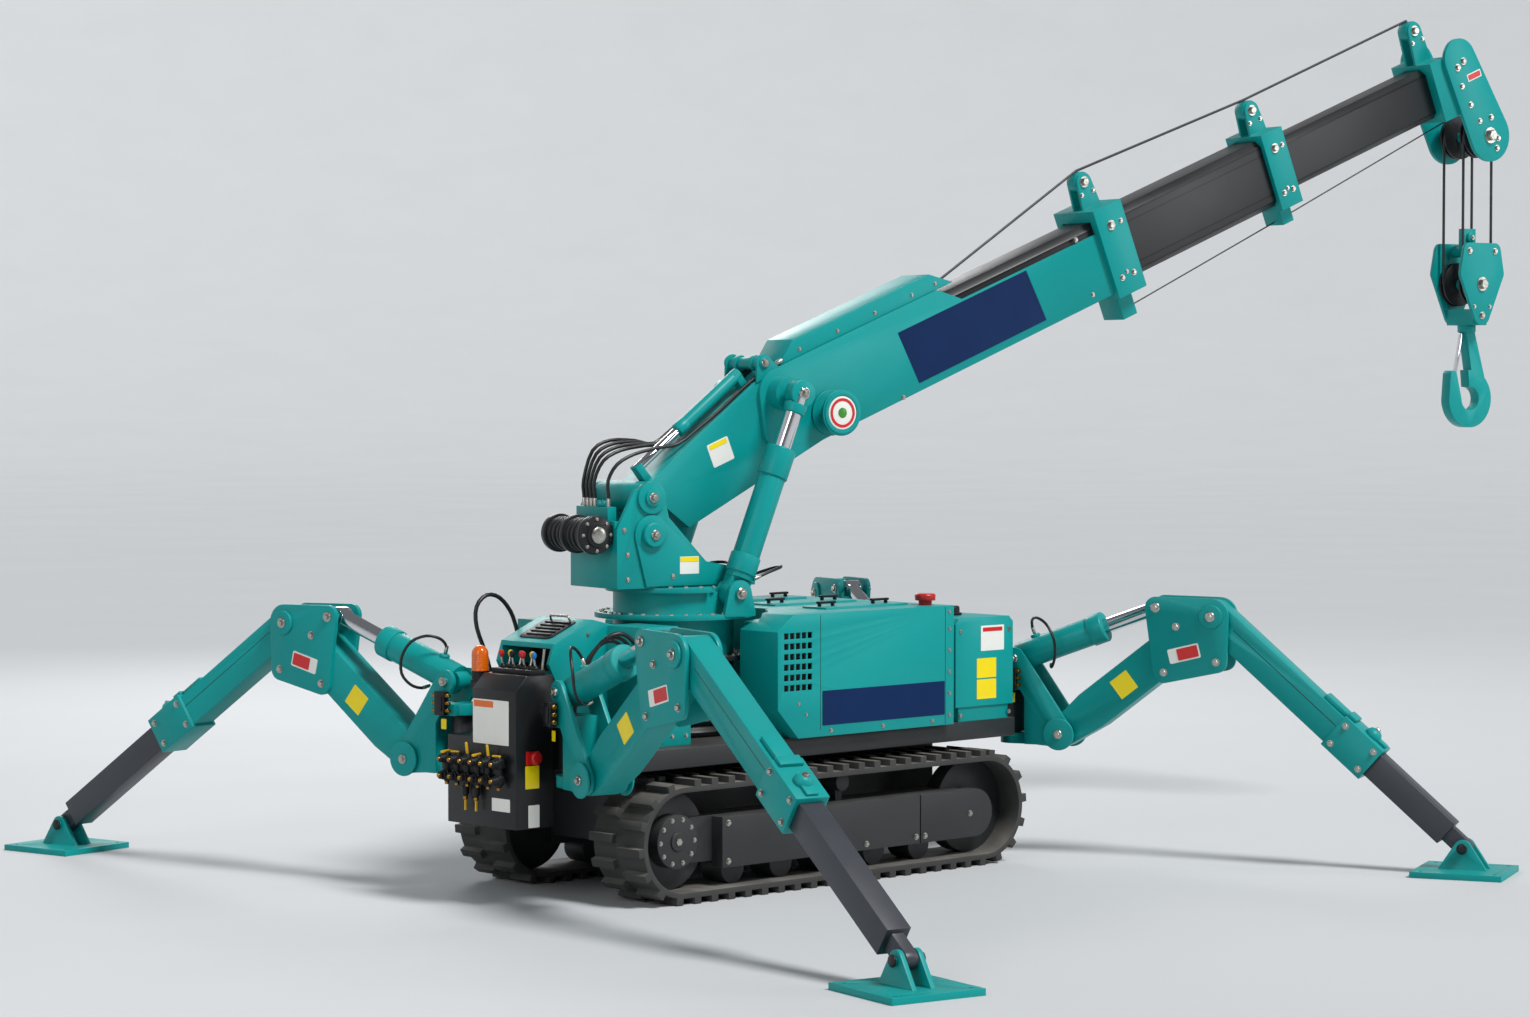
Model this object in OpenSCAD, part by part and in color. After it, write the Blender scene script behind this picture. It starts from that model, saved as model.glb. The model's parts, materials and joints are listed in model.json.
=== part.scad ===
// Compact tracked crane with a telescopic boom and four folding outriggers.
// Millimetres. X runs along the tracks, Y across them, Z up from the ground.
// Every piece is drawn about the slewing axis and then shifted by origin_x.

/* [Undercarriage] */
// width over both tracks
overall_w = 1380; // [1300:10:1500]
// width of one track shoe
shoe_w = 360; // [300:5:380]
// height of a track over its lugs
track_h = 594; // [560:2:620]
// sprocket axle, measured from the slewing axis
sprocket_x = -544; // [-600:1:-500]
// idler axle, measured from the slewing axis
idler_x = 1548; // [1480:1:1600]
// height of a track lug
lug_h = 32; // [20:1:40]
// length of a track lug along the belt
lug_l = 42; // [30:1:50]
// thickness of the belt under the lugs
belt_t = 26; // [18:1:34]
// plain groove between the two lug columns
belt_groove = 44; // [20:2:80]
// lugs on one straight run of one column
lugs_run = 19; // [16:1:21]
// lugs round one end of one column
lugs_end = 7; // [6:1:8]
// width of the beam inside each track
beam_w = 150; // [120:2:170]
// lower edge of the track beam
beam_z0 = 180; // [170:2:195]
// upper edge of the track beam
beam_z1 = 400; // [380:2:420]
// radius of a bottom roller
roller_r = 75; // [66:1:84]
// number of bottom rollers
roller_n = 5; // [4:1:6]
// radius of the carrier roller
carrier_r = 45; // [36:1:54]
// carrier roller along the track
carrier_x = 606; // [500:2:700]
// width of sprocket and idler
wheel_w = 90; // [70:2:120]
// radius of the hub cover on the sprocket
hub_r = 129; // [110:1:150]
// depth of the hub cover
hub_d = 78; // [50:2:90]
// left end of the guard panels
guard_x0 = -279; // [-300:1:-250]
// joint between the two guard panels
guard_split_x = 1085; // [1000:1:1200]
// right end of the guard panels
guard_x1 = 1615; // [1560:1:1640]
// lower edge of the guard panels
guard_z0 = 150; // [140:1:170]
// upper edge of the guard panels
guard_z1 = 395; // [370:1:410]
// the guard panels lie this far inside the track's outer face
guard_inset = 30; // [20:1:60]
// open joint between the two guard panels
guard_joint = 8; // [4:1:12]

/* [Chassis] */
// clear height between the tracks and the deck
deck_gap = 46; // [30:1:60]
// depth of the deck frame
deck_h = 95; // [70:1:110]
// half width of the deck frame
deck_hw = 590; // [540:5:620]
// front end of the deck frame
deck_x0 = -872; // [-880:1:-860]
// rear end of the deck frame
deck_x1 = 1862; // [1858:1:1880]
// clear space between the centre box and each track
box_side_gap = 30; // [20:1:50]
// underside of the centre box
box_z0 = 250; // [220:2:300]
// front cross tube of the track beams
cross_front_x = 150; // [100:5:300]
// rear cross tube of the track beams
cross_rear_x = 950; // [800:5:1100]
// length of a cross tube along the tracks
cross_l = 200; // [150:5:240]
// underside of the cross tubes
cross_z0 = 235; // [210:5:260]
// top of the cross tubes
cross_z1 = 375; // [340:5:395]
// depth of the end members that carry the outriggers
end_member_l = 88; // [80:2:96]
// outrigger swivel at the front end
swivel_front_x = -1010; // [-1030:1:-1000]
// outrigger swivel at the rear end
swivel_rear_x = 2060; // [2045:1:2080]
// outrigger swivels lie this far from the centre line
swivel_y = 420; // [410:1:430]
// radius of the swivel boss
boss_r = 45; // [38:1:48]
// height of the swivel boss
boss_h = 220; // [200:2:240]
// radius of the swivel pin
swivel_pin_r = 24; // [18:1:30]

/* [Covers] */
// front end of the engine cover
cover_x0 = 107; // [100:1:130]
// rear end of the engine cover
cover_x1 = 1349; // [1340:1:1380]
// half width of the engine cover
cover_hw = 640; // [600:5:680]
// height of the engine cover
cover_h = 608; // [560:1:620]
// wall of the engine cover
cover_t = 10; // [6:1:16]
// slanted lower front corner of the engine cover, along and up
cover_foot = [139, 146];
// slanted upper front corner of the engine cover, along and up
cover_brow = [109, 80];
// depth of the recess round the slewing column
recess_x = 470; // [440:2:500]
// half width of the recess floor
recess_hw = 200; // [160:2:220]
// half width of the recess mouth
recess_mouth_hw = 370; // [360:1:440]
// rows of holes in the air grille
grille_rows = 6; // [4:1:7]
// columns of holes in the air grille
grille_cols = 5; // [3:1:6]
// side of one grille hole
grille_hole = 30; // [22:1:32]
// spacing of the grille's holes along and up
grille_pitch = [40, 51];
// first grille column behind the cover's front end
grille_x = 43; // [36:1:60]
// first grille row above the deck
grille_z = 235; // [200:1:260]
// radius of the ledge round the turning flange in the cover's top
ledge_r = 470; // [465:1:490]
// depth of that ledge
ledge_d = 42; // [38:1:60]
// height of a raised hatch on the engine cover
hatch_h = 10; // [6:1:14]
// length of the engine block
engine_l = 640; // [500:10:760]
// width of the engine block
engine_w = 620; // [500:10:800]
// height of the engine block
engine_h = 420; // [360:10:480]
// gap between the engine block and the cover's rear wall
engine_gap = 110; // [60:5:160]
// front end of the tank box
tank_x0 = 1404; // [1395:1:1440]
// rear end of the tank box
tank_x1 = 1838; // [1820:1:1860]
// half width of the tank box
tank_hw = 600; // [560:5:640]
// height of the tank box over its base frame
tank_h = 458; // [400:2:500]
// height of the dark base frame under the tank box
tank_base_h = 75; // [50:1:90]
// slanted upper edges of the tank box
tank_chamfer = 30; // [10:1:60]
// front end of the valve housing on the deck
valve_x0 = -868; // [-870:1:-850]
// rear end of the valve housing
valve_x1 = -385; // [-420:1:-380]
// half width of the valve housing over its side boxes
valve_hw = 480; // [440:5:520]
// half width of the hood in the middle
hood_hw = 198; // [180:1:210]
// height where the hood starts to lean forward
hood_chin = 195; // [150:5:240]
// foremost edge of the hood, and its height above the deck
hood_nose = [-974, 403];
// front edge of the hood's roof, and its height above the deck
hood_lip = [-940, 500];
// ridge of the hood's roof, and its height above the deck
hood_top = [-696, 605];
// rear edge of the hood's roof, and its height above the deck
hood_back = [-520, 563];
// wall of the hood round the lever pocket
hood_wall = 20; // [16:1:26]
// depth of the lever pocket behind the roof's front edge
pocket_l = 180; // [140:5:220]
// floor of the lever pocket above the deck
pocket_z = 370; // [350:5:380]
// front and rear ends of the side boxes
side_x = [-605, -320];
// height of the side boxes
side_h = 575; // [540:1:576]
// slanted rear edges of the side boxes
side_chamfer = [85, 75];

/* [Control stand] */
// front face of the control box
control_x0 = -1250; // [-1280:1:-1200]
// rear face of the control box
control_x1 = -1020; // [-1040:1:-1000]
// near side of the control box
control_y0 = -285; // [-290:1:-240]
// far side of the upper control box
control_y1 = 37; // [0:1:100]
// far side of the lower control box
control_low_y1 = 225; // [150:5:280]
// underside of the control box
control_z0 = 380; // [340:5:420]
// top of the lower control box
control_step_z = 800; // [700:5:900]
// top of the control box
control_z1 = 1100; // [1050:5:1150]
// depth of the slanted front edge
control_chamfer = 70; // [30:1:120]
// number of levers on the control box
lever_n = 7; // [4:1:9]
// radius of a lever's rod
lever_r = 6; // [4:0.5:9]
// height of a lever's rod
lever_h = 84; // [60:2:110]
// radius of a lever's knob
knob_r = 16; // [12:1:19]
// thickness of the lever bank's base
lever_base_h = 24; // [14:1:36]
// number of taps in the valve cluster
tap_n = 4; // [3:1:5]
// radius of a tap's body
tap_r = 26; // [20:1:30]
// length of a tap's body
tap_l = 70; // [50:2:90]
// spacing of the taps
tap_pitch = 78; // [66:1:88]
// height of the taps above the ground
tap_z = 650; // [600:5:700]
// radius of the amber lamp
lamp_r = 42; // [34:1:50]
// height of the amber lamp
lamp_h = 84; // [60:2:110]
// radius of the lamp's post
lamp_post_r = 16; // [10:1:24]
// lamp position across the machine
lamp_y = 120; // [80:5:180]

/* [Slewing column] */
// radius of the column's bellows
bellows_r = 300; // [280:2:320]
// number of folds in the bellows
bellows_n = 7; // [5:1:9]
// depth of a fold
bellows_d = 26; // [14:1:34]
// radius of the fixed flange
fixed_flange_r = 370; // [350:2:400]
// underside of the fixed flange above the deck
fixed_flange_up = 375; // [360:1:380]
// thickness of each slewing flange
flange_t = 25; // [20:1:30]
// radius of the turning drum
drum_r = 300; // [280:2:320]
// height of the lower turning drum
drum_low_h = 183; // [170:1:190]
// radius of the turning flange
turn_flange_r = 392; // [370:2:410]
// height of the upper turning drum
drum_up_h = 106; // [90:1:120]
// radius of the turret's base flange
base_flange_r = 337; // [320:1:350]

/* [Turret] */
// boom heading at rest, towards the near side
slew_rest = 10; // [0:1:20]
// boom pivot behind the slewing axis
pivot_back = 268; // [250:1:290]
// height of the boom pivot above the turret's base flange
pivot_up = 442; // [420:1:470]
// radius of the boom pivot pin
pivot_pin_r = 40; // [32:1:46]
// radius of the cheek round the boom pivot
pivot_boss_r = 78; // [70:1:90]
// clear width between the turret cheeks
cheek_clear = 400; // [370:2:410]
// thickness of a turret cheek
cheek_t = 22; // [16:1:28]
// length of the turret cheeks
cheek_l = 800; // [720:5:840]
// rear end of the turret cheeks
cheek_back = 460; // [440:2:480]
// cheek outline, shares of its length and of the pivot's height
cheek_shares = [[0, 0], [0, 0.66], [0.13, 1.1], [0.33, 1.1], [0.37, 0.78], [0.64, 0.28], [1, 0.16], [1, 0]];
// radius of the big boss on each cheek
cheek_boss_r = 86; // [70:1:100]
// big boss below the boom pivot
cheek_boss_drop = 180; // [160:1:200]
// how far the boss stands out
cheek_boss_t = 16; // [8:1:26]
// rear wall of the turret, thickness
rear_wall_t = 20; // [14:1:30]
// rear wall of the turret, height
rear_wall_h = 330; // [260:2:360]
// lift cylinder's lower pin ahead of the slewing axis
lift_low_r = 143; // [120:1:160]
// lift cylinder's lower pin above the turning flange
lift_low_up = 100; // [90:1:120]
// lift cylinders lie this far off the boom's plane
lift_side = 330; // [322:1:340]
// radius of the hose winch behind the turret
winch_r = 95; // [80:1:104]
// width of the hose winch
winch_w = 360; // [300:5:390]
// winch axle above the turret's base flange
winch_up = 265; // [220:5:280]
// width of the winch's end plates
winch_plate_t = 26; // [16:1:36]

/* [Boom] */
// boom angle at rest
boom_angle = 22; // [10:1:40]
// width of the boom's base section
base_w = 280; // [270:2:300]
// underside of the base section below the boom pivot
base_v0 = 150; // [140:1:170]
// top of the base section above the boom pivot
base_v1 = 290; // [280:1:310]
// rear end of the base section ahead of the boom pivot
base_u0 = 25; // [0:1:60]
// front end of the base section
base_u1 = 3230; // [3190:5:3240]
// bevel of the boom sections' edges
boom_bevel = 34; // [16:1:44]
// rear upper corner of the base section, along and above the boom pivot
base_heel = [24, 36];
// rear lower corner of the base section, along and below the boom pivot
base_toe = [197, 246];
// where the deeper foot of the base section ends
base_foot_u = 1100; // [900:10:1200]
// where the base section reaches its full height
base_rise_u = 880; // [860:5:900]
// top of the open front part above the boom pivot
base_low_v1 = 190; // [170:1:210]
// where the open front part starts
base_open_u = 2180; // [2160:5:2200]
// the bore of the base section starts here
base_bore_u0 = 795; // [790:1:800]
// top cover, start and length along the boom
top_cover_u = [1000, 1170];
// height of the top cover
top_cover_h = 92; // [60:2:120]
// width of the top cover
top_cover_w = 236; // [200:2:260]
// length of the top cover's slanted ends
top_cover_slope = 130; // [80:5:200]
// lift pin along the base section
lift_u = 934; // [900:1:970]
// lift pin above the boom pivot
lift_v = 170; // [150:1:190]
// radius of the lift pin's boss on the boom
lift_boss_r = 84; // [70:1:100]
// cable reel along and below the boom pivot
reel_at = [1190, 40];
// radius of the cable reel
reel_r = 116; // [90:1:124]
// width of the cable reel
reel_w = 104; // [60:2:110]
// first collar, start and length along the boom
collar_a_u = [3130, 200];
// the first collar stands this far out of the base section
collar_a_lip = 30; // [20:1:50]
// drop of the first collar's lower lug
collar_a_lug = 137; // [100:1:150]
// height of the first collar's rope bracket
collar_a_ear = 200; // [150:2:240]
// width of the middle section
mid_w = 240; // [230:1:246]
// underside of the middle section below the boom pivot
mid_v0 = 125; // [120:1:134]
// top of the middle section above the boom pivot
mid_v1 = 255; // [250:1:264]
// rear end of the middle section
mid_u0 = 1800; // [1785:5:1850]
// second collar, start and length along the boom
collar_b_u = [4400, 160];
// the second collar stands this far out of the middle section
collar_b_lip = 28; // [18:1:40]
// drop of the second collar's lower lug
collar_b_lug = 96; // [70:1:120]
// height of the second collar's rope bracket
collar_b_ear = 190; // [150:2:220]
// width of the tip section
tip_w = 200; // [190:1:206]
// underside of the tip section below the boom pivot
tip_v0 = 85; // [80:1:94]
// top of the tip section above the boom pivot
tip_v1 = 205; // [200:1:214]
// rear end of the tip section
tip_u0 = 2960; // [2900:5:3020]
// front end of the tip section
tip_u1 = 5860; // [5830:5:5870]
// thickness of a rope bracket's plates
ear_t = 14; // [10:1:20]
// clear width of a rope bracket
ear_clear = 60; // [40:2:80]
// radius of the small rope sheaves
guide_r = 62; // [50:1:70]

/* [Boom head] */
// head sheave axle along and below the boom pivot
head_at = [6008, 294];
// clear width between the head plates
head_clear = 316; // [300:2:330]
// thickness of a head plate
head_t = 24; // [16:1:30]
// lower end radius of a head plate
head_low_r = 150; // [140:1:160]
// upper end radius of a head plate
head_up_r = 120; // [100:1:130]
// upper end of a head plate, from the axle along and up
head_rise = [-66, 480];
// length of the block between head plates and tip section
head_block_l = 130; // [110:2:150]
// radius of a rope
rope_r = 8; // [6:0.5:10]
// radius of a rope's path round a sheave
rope_path_r = 111; // [100:1:120]
// rim of a sheave beyond the rope's path
sheave_rim = 14; // [10:1:18]
// width of a sheave
sheave_w = 44; // [30:1:52]
// sheaves lie this far off the boom's plane
sheave_y = 78; // [72:1:82]
// radius of the sheave axles
axle_r = 30; // [24:1:36]
// height of the top rope guide
head_guide = 125; // [80:1:140]

/* [Hook block] */
// length of the rope falls at rest
fall_l = 850; // [800:10:950]
// outer width of the hook block
block_w = 250; // [240:2:270]
// thickness of a block plate
block_t = 20; // [14:1:26]
// half width of a block plate at its shoulders
block_hw = 171; // [165:1:180]
// half width of a block plate at its top
block_top_hw = 146; // [130:1:160]
// radius of a block plate's corners
block_corner_r = 46; // [36:1:56]
// shoulders of a block plate above the sheave axle
block_shoulder = 62; // [40:1:90]
// lower radius of a block plate
block_low_r = 62; // [56:1:70]
// height of a block plate
block_h = 472; // [450:2:500]
// upper end of a block plate above the sheave axle
block_rise = 236; // [225:1:250]
// height of the becket on top of the block
becket_h = 84; // [60:2:100]
// length of the becket
becket_l = 90; // [70:2:110]
// radius of the weight bar at the top of the block
weight_r = 34; // [28:1:40]
// height of the crosshead that carries the hook
crosshead_h = 92; // [80:1:110]
// length of the crosshead
crosshead_l = 110; // [90:2:120]
// radius of the hook's shank
shank_r = 30; // [24:1:36]
// radius of the hook's collar
hook_collar_r = 52; // [44:1:60]
// height of the hook's collar
hook_collar_h = 40; // [30:1:60]
// height of the hook below its collar
hook_drop = 590; // [560:5:640]
// inner radius of the hook's bowl
bowl_r = 68; // [60:1:80]
// thickness of the hook round its bowl
hook_t = 98; // [84:1:106]
// radius of the hook's neck
hook_neck_r = 32; // [28:1:36]
// tip of the hook, across and above the middle of its bowl
hook_tip = [-130, 138];
// radius of the hook's tip
hook_tip_r = 24; // [18:1:30]
// width of the hook across its plane
hook_w = 66; // [54:1:80]
// angles where the bowl begins and ends
bowl_span = [96, 184];
// width of the hook's latch
latch_w = 22; // [14:1:30]
// thickness of the hook's latch
latch_t = 10; // [6:1:14]
// turn round the bowl where the neck joins it
bowl_turn = 52; // [45:1:60]

/* [Lift cylinders] */
// length of a lift barrel from its lower pin
lift_barrel_l = 760; // [740:5:770]
// radius of a lift barrel
lift_barrel_r = 68; // [60:1:74]
// radius of a lift rod
lift_rod_r = 44; // [38:1:50]
// start of a lift rod inside its barrel
lift_rod_u0 = 275; // [268:1:285]
// radius of a lift cylinder's eye
lift_eye_r = 66; // [58:1:74]
// width of a lift cylinder's eye
lift_eye_w = 70; // [56:2:80]
// radius of a lift cylinder's pin
lift_pin_r = 30; // [24:1:36]
// thickness of a pin's head
pin_head_t = 12; // [8:1:18]

/* [Outriggers] */
// swing of the front outriggers out of the front direction
swing_front = 79; // [70:1:82]
// swing of the rear outriggers out of the rear direction
swing_rear = 66; // [55:1:80]
// arm pivot outward from the swivel, and its height
arm_at = [270, 640];
// length of the arm to the knee
arm_l = 1030; // [980:5:1080]
// angle of the arm at rest
arm_angle = 38; // [34:0.5:42]
// width of the arm
arm_w = 150; // [140:1:160]
// height of the arm
arm_h = 205; // [180:1:220]
// radius of the arm's inner end
arm_eye_r = 74; // [66:1:80]
// radius of the arm's pins
arm_pin_r = 26; // [20:1:30]
// cylinder pin on the knee plates, in the arm's direction and across it
jack_rod_at = [822, 214];
// cylinder pin on the bracket, outward from the swivel, and its height
jack_base_at = [20, 1030];
// lower corners of the knee plates, in the arm's direction and across it
knee_low = [[908, -202], [652, -78]];
// radius of the knee plates' corners
knee_corner_r = 56; // [46:1:64]
// radius of the knee plates round the knee pin
knee_r = 92; // [84:1:98]
// thickness of a knee plate
knee_t = 22; // [16:1:26]
// the arm's box ends this far short of the knee pin
knee_back = 104; // [100:1:112]
// clear gap beside a piece that turns
turn_gap = 5; // [5:0.5:8]
// thickness of a bracket cheek
bracket_t = 22; // [16:1:28]
// radius of the bracket round its pins
bracket_r = 70; // [60:1:76]
// thickness of the bracket's swivel lugs
bracket_lug_t = 55; // [45:1:60]
// radius of the bracket's swivel lugs
bracket_lug_r = 82; // [74:1:88]
// distance of the bracket's web from the swivel
web_r = 78; // [75:1:90]
// thickness of the bracket's web
web_t = 20; // [14:1:26]
// length of an outrigger barrel
jack_barrel_l = 500; // [470:5:520]
// radius of an outrigger barrel
jack_barrel_r = 74; // [60:1:75]
// radius of an outrigger rod
jack_rod_r = 41; // [30:1:44]
// start of an outrigger rod inside its barrel
jack_rod_u0 = 300; // [296:1:310]
// radius of an outrigger cylinder's eye
jack_eye_r = 46; // [40:1:52]
// width of an outrigger cylinder's eye
jack_eye_w = 84; // [70:2:96]
// radius of an outrigger cylinder's pin
jack_pin_r = 22; // [18:1:26]
// length of the front legs from knee to ankle
leg_front_l = 2015; // [1960:5:2060]
// length of the rear legs from knee to ankle
leg_rear_l = 1724; // [1660:5:1800]
// height of a leg's outer box
leg_h = 164; // [158:1:172]
// wall of a leg's outer box, side and top
leg_wall = [10, 14];
// end of a leg's outer box
leg_box_l = 1110; // [1080:5:1140]
// length of the collar at the end of a leg's box
leg_collar_l = 260; // [220:5:300]
// the collar stands this far out of the leg's box
leg_collar_lip = 15; // [8:1:20]
// the leg's bore starts this far from the knee
leg_bore_u0 = 62; // [58:1:80]
// the front legs' inner bars reach this far into their boxes at rest
bar_lap = 275; // [260:5:300]
// length of the tongue at the ankle
tongue_l = 110; // [100:1:130]
// width of the tongue at the ankle
tongue_w = 60; // [50:1:70]
// height of the ankle above the ground
ankle_z = 136; // [126:1:150]
// radius of the ankle's eye
ankle_r = 44; // [38:1:50]
// radius of the ankle's pin
ankle_pin_r = 18; // [14:1:22]
// side of the square foot
foot_s = 460; // [400:5:500]
// thickness of the foot's plate
foot_t = 30; // [22:1:36]
// thickness of the foot's lugs
foot_lug_t = 22; // [16:1:26]
// base of the foot's lugs
foot_lug_l = 246; // [220:2:270]
// radius of the holes in the foot
foot_hole_r = 11; // [8:0.5:16]
// distance of the holes from the foot's edge
foot_hole_in = 45; // [36:1:60]

/* [Fits] */
// running clearance at pins, seats and slides
fit = 0.3; // [0.1:0.05:0.4]

/* [Hidden] */
$fn = 64;
half_w = overall_w / 2;
track_mid = half_w - shoe_w / 2;
axle_z = track_h / 2;
wheelbase = idler_x - sprocket_x;
belt_r = axle_z - lug_h;
wheel_r = belt_r - belt_t;
lug_tip_r = sqrt(axle_z * axle_z - lug_l * lug_l / 4);
deck_z0 = track_h + deck_gap;
deck_z1 = deck_z0 + deck_h;
box_hw = half_w - shoe_w - box_side_gap;
fixed_flange_z = deck_z1 + fixed_flange_up;
drum_z0 = fixed_flange_z + flange_t + fit;
turn_flange_z0 = drum_z0 + drum_low_h;
turn_flange_z1 = turn_flange_z0 + flange_t;
base_flange_z0 = turn_flange_z1 + drum_up_h;
base_flange_z1 = base_flange_z0 + flange_t;
pivot_z = base_flange_z1 + pivot_up;
lift_low_z = turn_flange_z1 + lift_low_up;
lift_top_r = -pivot_back + lift_u * cos(boom_angle) - lift_v * sin(boom_angle);
lift_top_z = pivot_z + lift_u * sin(boom_angle) + lift_v * cos(boom_angle);
lift_l = norm([lift_top_r - lift_low_r, lift_top_z - lift_low_z]);
lift_angle = atan2(lift_top_z - lift_low_z, lift_top_r - lift_low_r);
head_r = -pivot_back + head_at[0] * cos(boom_angle) + head_at[1] * sin(boom_angle);
head_z = pivot_z + head_at[0] * sin(boom_angle) - head_at[1] * cos(boom_angle);
block_z = head_z - fall_l;
block_low = block_rise - block_h;
knee_at = [arm_at[0] + arm_l * cos(arm_angle), arm_at[1] + arm_l * sin(arm_angle)];
leg_w = arm_w - 2 * turn_gap;
bar_w = leg_w - 2 * leg_wall[0] - 2 * fit;
bar_h = leg_h - 2 * leg_wall[1] - 2 * fit;
bar_l = leg_front_l - tongue_l - leg_box_l + bar_lap;
leg_front_angle = asin((knee_at[1] - ankle_z) / leg_front_l);
leg_rear_angle = asin((knee_at[1] - ankle_z) / leg_rear_l);
rod_len = norm(jack_rod_at);
rod_turn = arm_angle + atan2(jack_rod_at[1], jack_rod_at[0]);
jack_top = [arm_at[0] + rod_len * cos(rod_turn), arm_at[1] + rod_len * sin(rod_turn)];
jack_len = norm(jack_top - jack_base_at);
jack_angle = atan2(jack_top[1] - jack_base_at[1], jack_top[0] - jack_base_at[0]);
foot_front_r = knee_at[0] + leg_front_l * cos(leg_front_angle);
foot_half = foot_s / 2;
reach_front_x = swivel_front_x - foot_front_r * cos(swing_front)
    - foot_half * (cos(swing_front) + sin(swing_front));
reach_head_x = (head_r + head_low_r) * cos(slew_rest) + (head_clear / 2 + head_t) * sin(slew_rest);
origin_x = (reach_front_x + reach_head_x) / 2;

// plate standing in the side plane, centred on it
module upright(w) {
    rotate([90, 0, 0]) linear_extrude(height = w, center = true) children();
}

// pin lying across the side plane
module cross_pin(r, w) {
    rotate([90, 0, 0]) cylinder(r = r, h = w, center = true);
}

// two round ends with straight flanks between them
module link(p, r, q, s) {
    hull() {
        translate(p) circle(r = r);
        translate(q) circle(r = s);
    }
}

// bevelled section, across and up
module section(w, v0, v1, bevel) {
    h = w / 2;
    polygon([[-h + bevel, v0], [h - bevel, v0], [h, v0 + bevel], [h, v1 - bevel], [h - bevel, v1],
        [-h + bevel, v1], [-h, v1 - bevel], [-h, v0 + bevel]]);
}

// bevelled beam along X
module beam(u0, u1, w, v0, v1, bevel) {
    translate([u0, 0, 0]) rotate([90, 0, 90]) linear_extrude(height = u1 - u0) section(w, v0, v1, bevel);
}

// box between two corners, centred across
module block(u0, u1, w, v0, v1) {
    translate([u0, -w / 2, v0]) cube([u1 - u0, w, v1 - v0]);
}

// near side and far side copies
module both_sides() {
    children();
    mirror([0, 1, 0]) children();
}

// shift from the slewing axis to the middle of the machine's box
module placed() {
    translate([-origin_x, 0, 0]) children();
}

module turned() {
    placed() rotate([0, 0, -slew_rest]) children();
}

module on_boom() {
    turned() translate([-pivot_back, 0, pivot_z]) rotate([0, -boom_angle, 0]) children();
}

module at_head() {
    turned() translate([head_r, 0, head_z]) children();
}

module at_block() {
    turned() translate([head_r, 0, block_z]) children();
}

// outrigger's own frame: outward along X from its swivel
module swung(front, far) {
    heading = front ? 180 - swing_front : swing_rear;
    placed() translate([front ? swivel_front_x : swivel_rear_x, far ? swivel_y : -swivel_y, 0])
        rotate([0, 0, far ? heading : -heading]) children();
}

module on_arm(front, far) {
    swung(front, far) translate([arm_at[0], 0, arm_at[1]]) rotate([0, -arm_angle, 0]) children();
}

module on_leg(front, far) {
    swung(front, far) translate([knee_at[0], 0, knee_at[1]])
        rotate([0, front ? leg_front_angle : leg_rear_angle, 0]) children();
}

module on_jack(front, far) {
    swung(front, far) translate([jack_base_at[0], 0, jack_base_at[1]]) rotate([0, -jack_angle, 0]) children();
}

module at_ankle(front, far) {
    l = front ? leg_front_l : leg_rear_l;
    on_leg(front, far) translate([l, 0, 0]) rotate([0, -(front ? leg_front_angle : leg_rear_angle), 0]) children();
}

// track loop outline of one radius
module loop(r) {
    translate([sprocket_x, axle_z]) circle(r = r);
    translate([idler_x, axle_z]) circle(r = r);
    translate([sprocket_x, axle_z - r]) square([wheelbase, 2 * r]);
}

// track loop outline with its lugs, moved on by a share of the spacing
module lugged_loop(step_share) {
    pitch = wheelbase / lugs_run;
    loop(belt_r);
    for (i = [0 : lugs_run - 1]) {
        x = sprocket_x + (i + step_share) * pitch - lug_l / 2;
        translate([x, 0]) square([lug_l, lug_h + belt_t / 2]);
        translate([x, track_h - lug_h - belt_t / 2]) square([lug_l, lug_h + belt_t / 2]);
    }
    for (j = [0 : lugs_end - 1]) {
        a = (j + step_share) * 180 / lugs_end;
        translate([sprocket_x, axle_z]) rotate(a + 90)
            translate([wheel_r + belt_t / 2, -lug_l / 2]) square([lug_tip_r - wheel_r - belt_t / 2, lug_l]);
        translate([idler_x, axle_z]) rotate(a - 90)
            translate([wheel_r + belt_t / 2, -lug_l / 2]) square([lug_tip_r - wheel_r - belt_t / 2, lug_l]);
    }
}

module track_belt() {
    column_w = (shoe_w - belt_groove) / 2;
    color("dimgray") placed() translate([0, track_mid, 0]) {
        for (k = [0, 1]) {
            translate([0, (k - 1 / 2) * (column_w + belt_groove), 0]) upright(column_w) difference() {
                lugged_loop(k == 0 ? 0.28 : 0.72);
                loop(wheel_r);
            }
        }
        upright(belt_groove) difference() {
            loop(belt_r);
            loop(wheel_r);
        }
    }
}

module guard_outline() {
    h = guard_z1 - guard_z0;
    r = h / 2;
    translate([guard_x0, guard_z0]) square([guard_split_x - guard_joint / 2 - guard_x0, h]);
    translate([guard_split_x + guard_joint / 2, guard_z0])
        square([guard_x1 - r - guard_split_x - guard_joint / 2, h]);
    translate([guard_x1 - r, guard_z0 + r]) circle(r = r);
}

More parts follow.
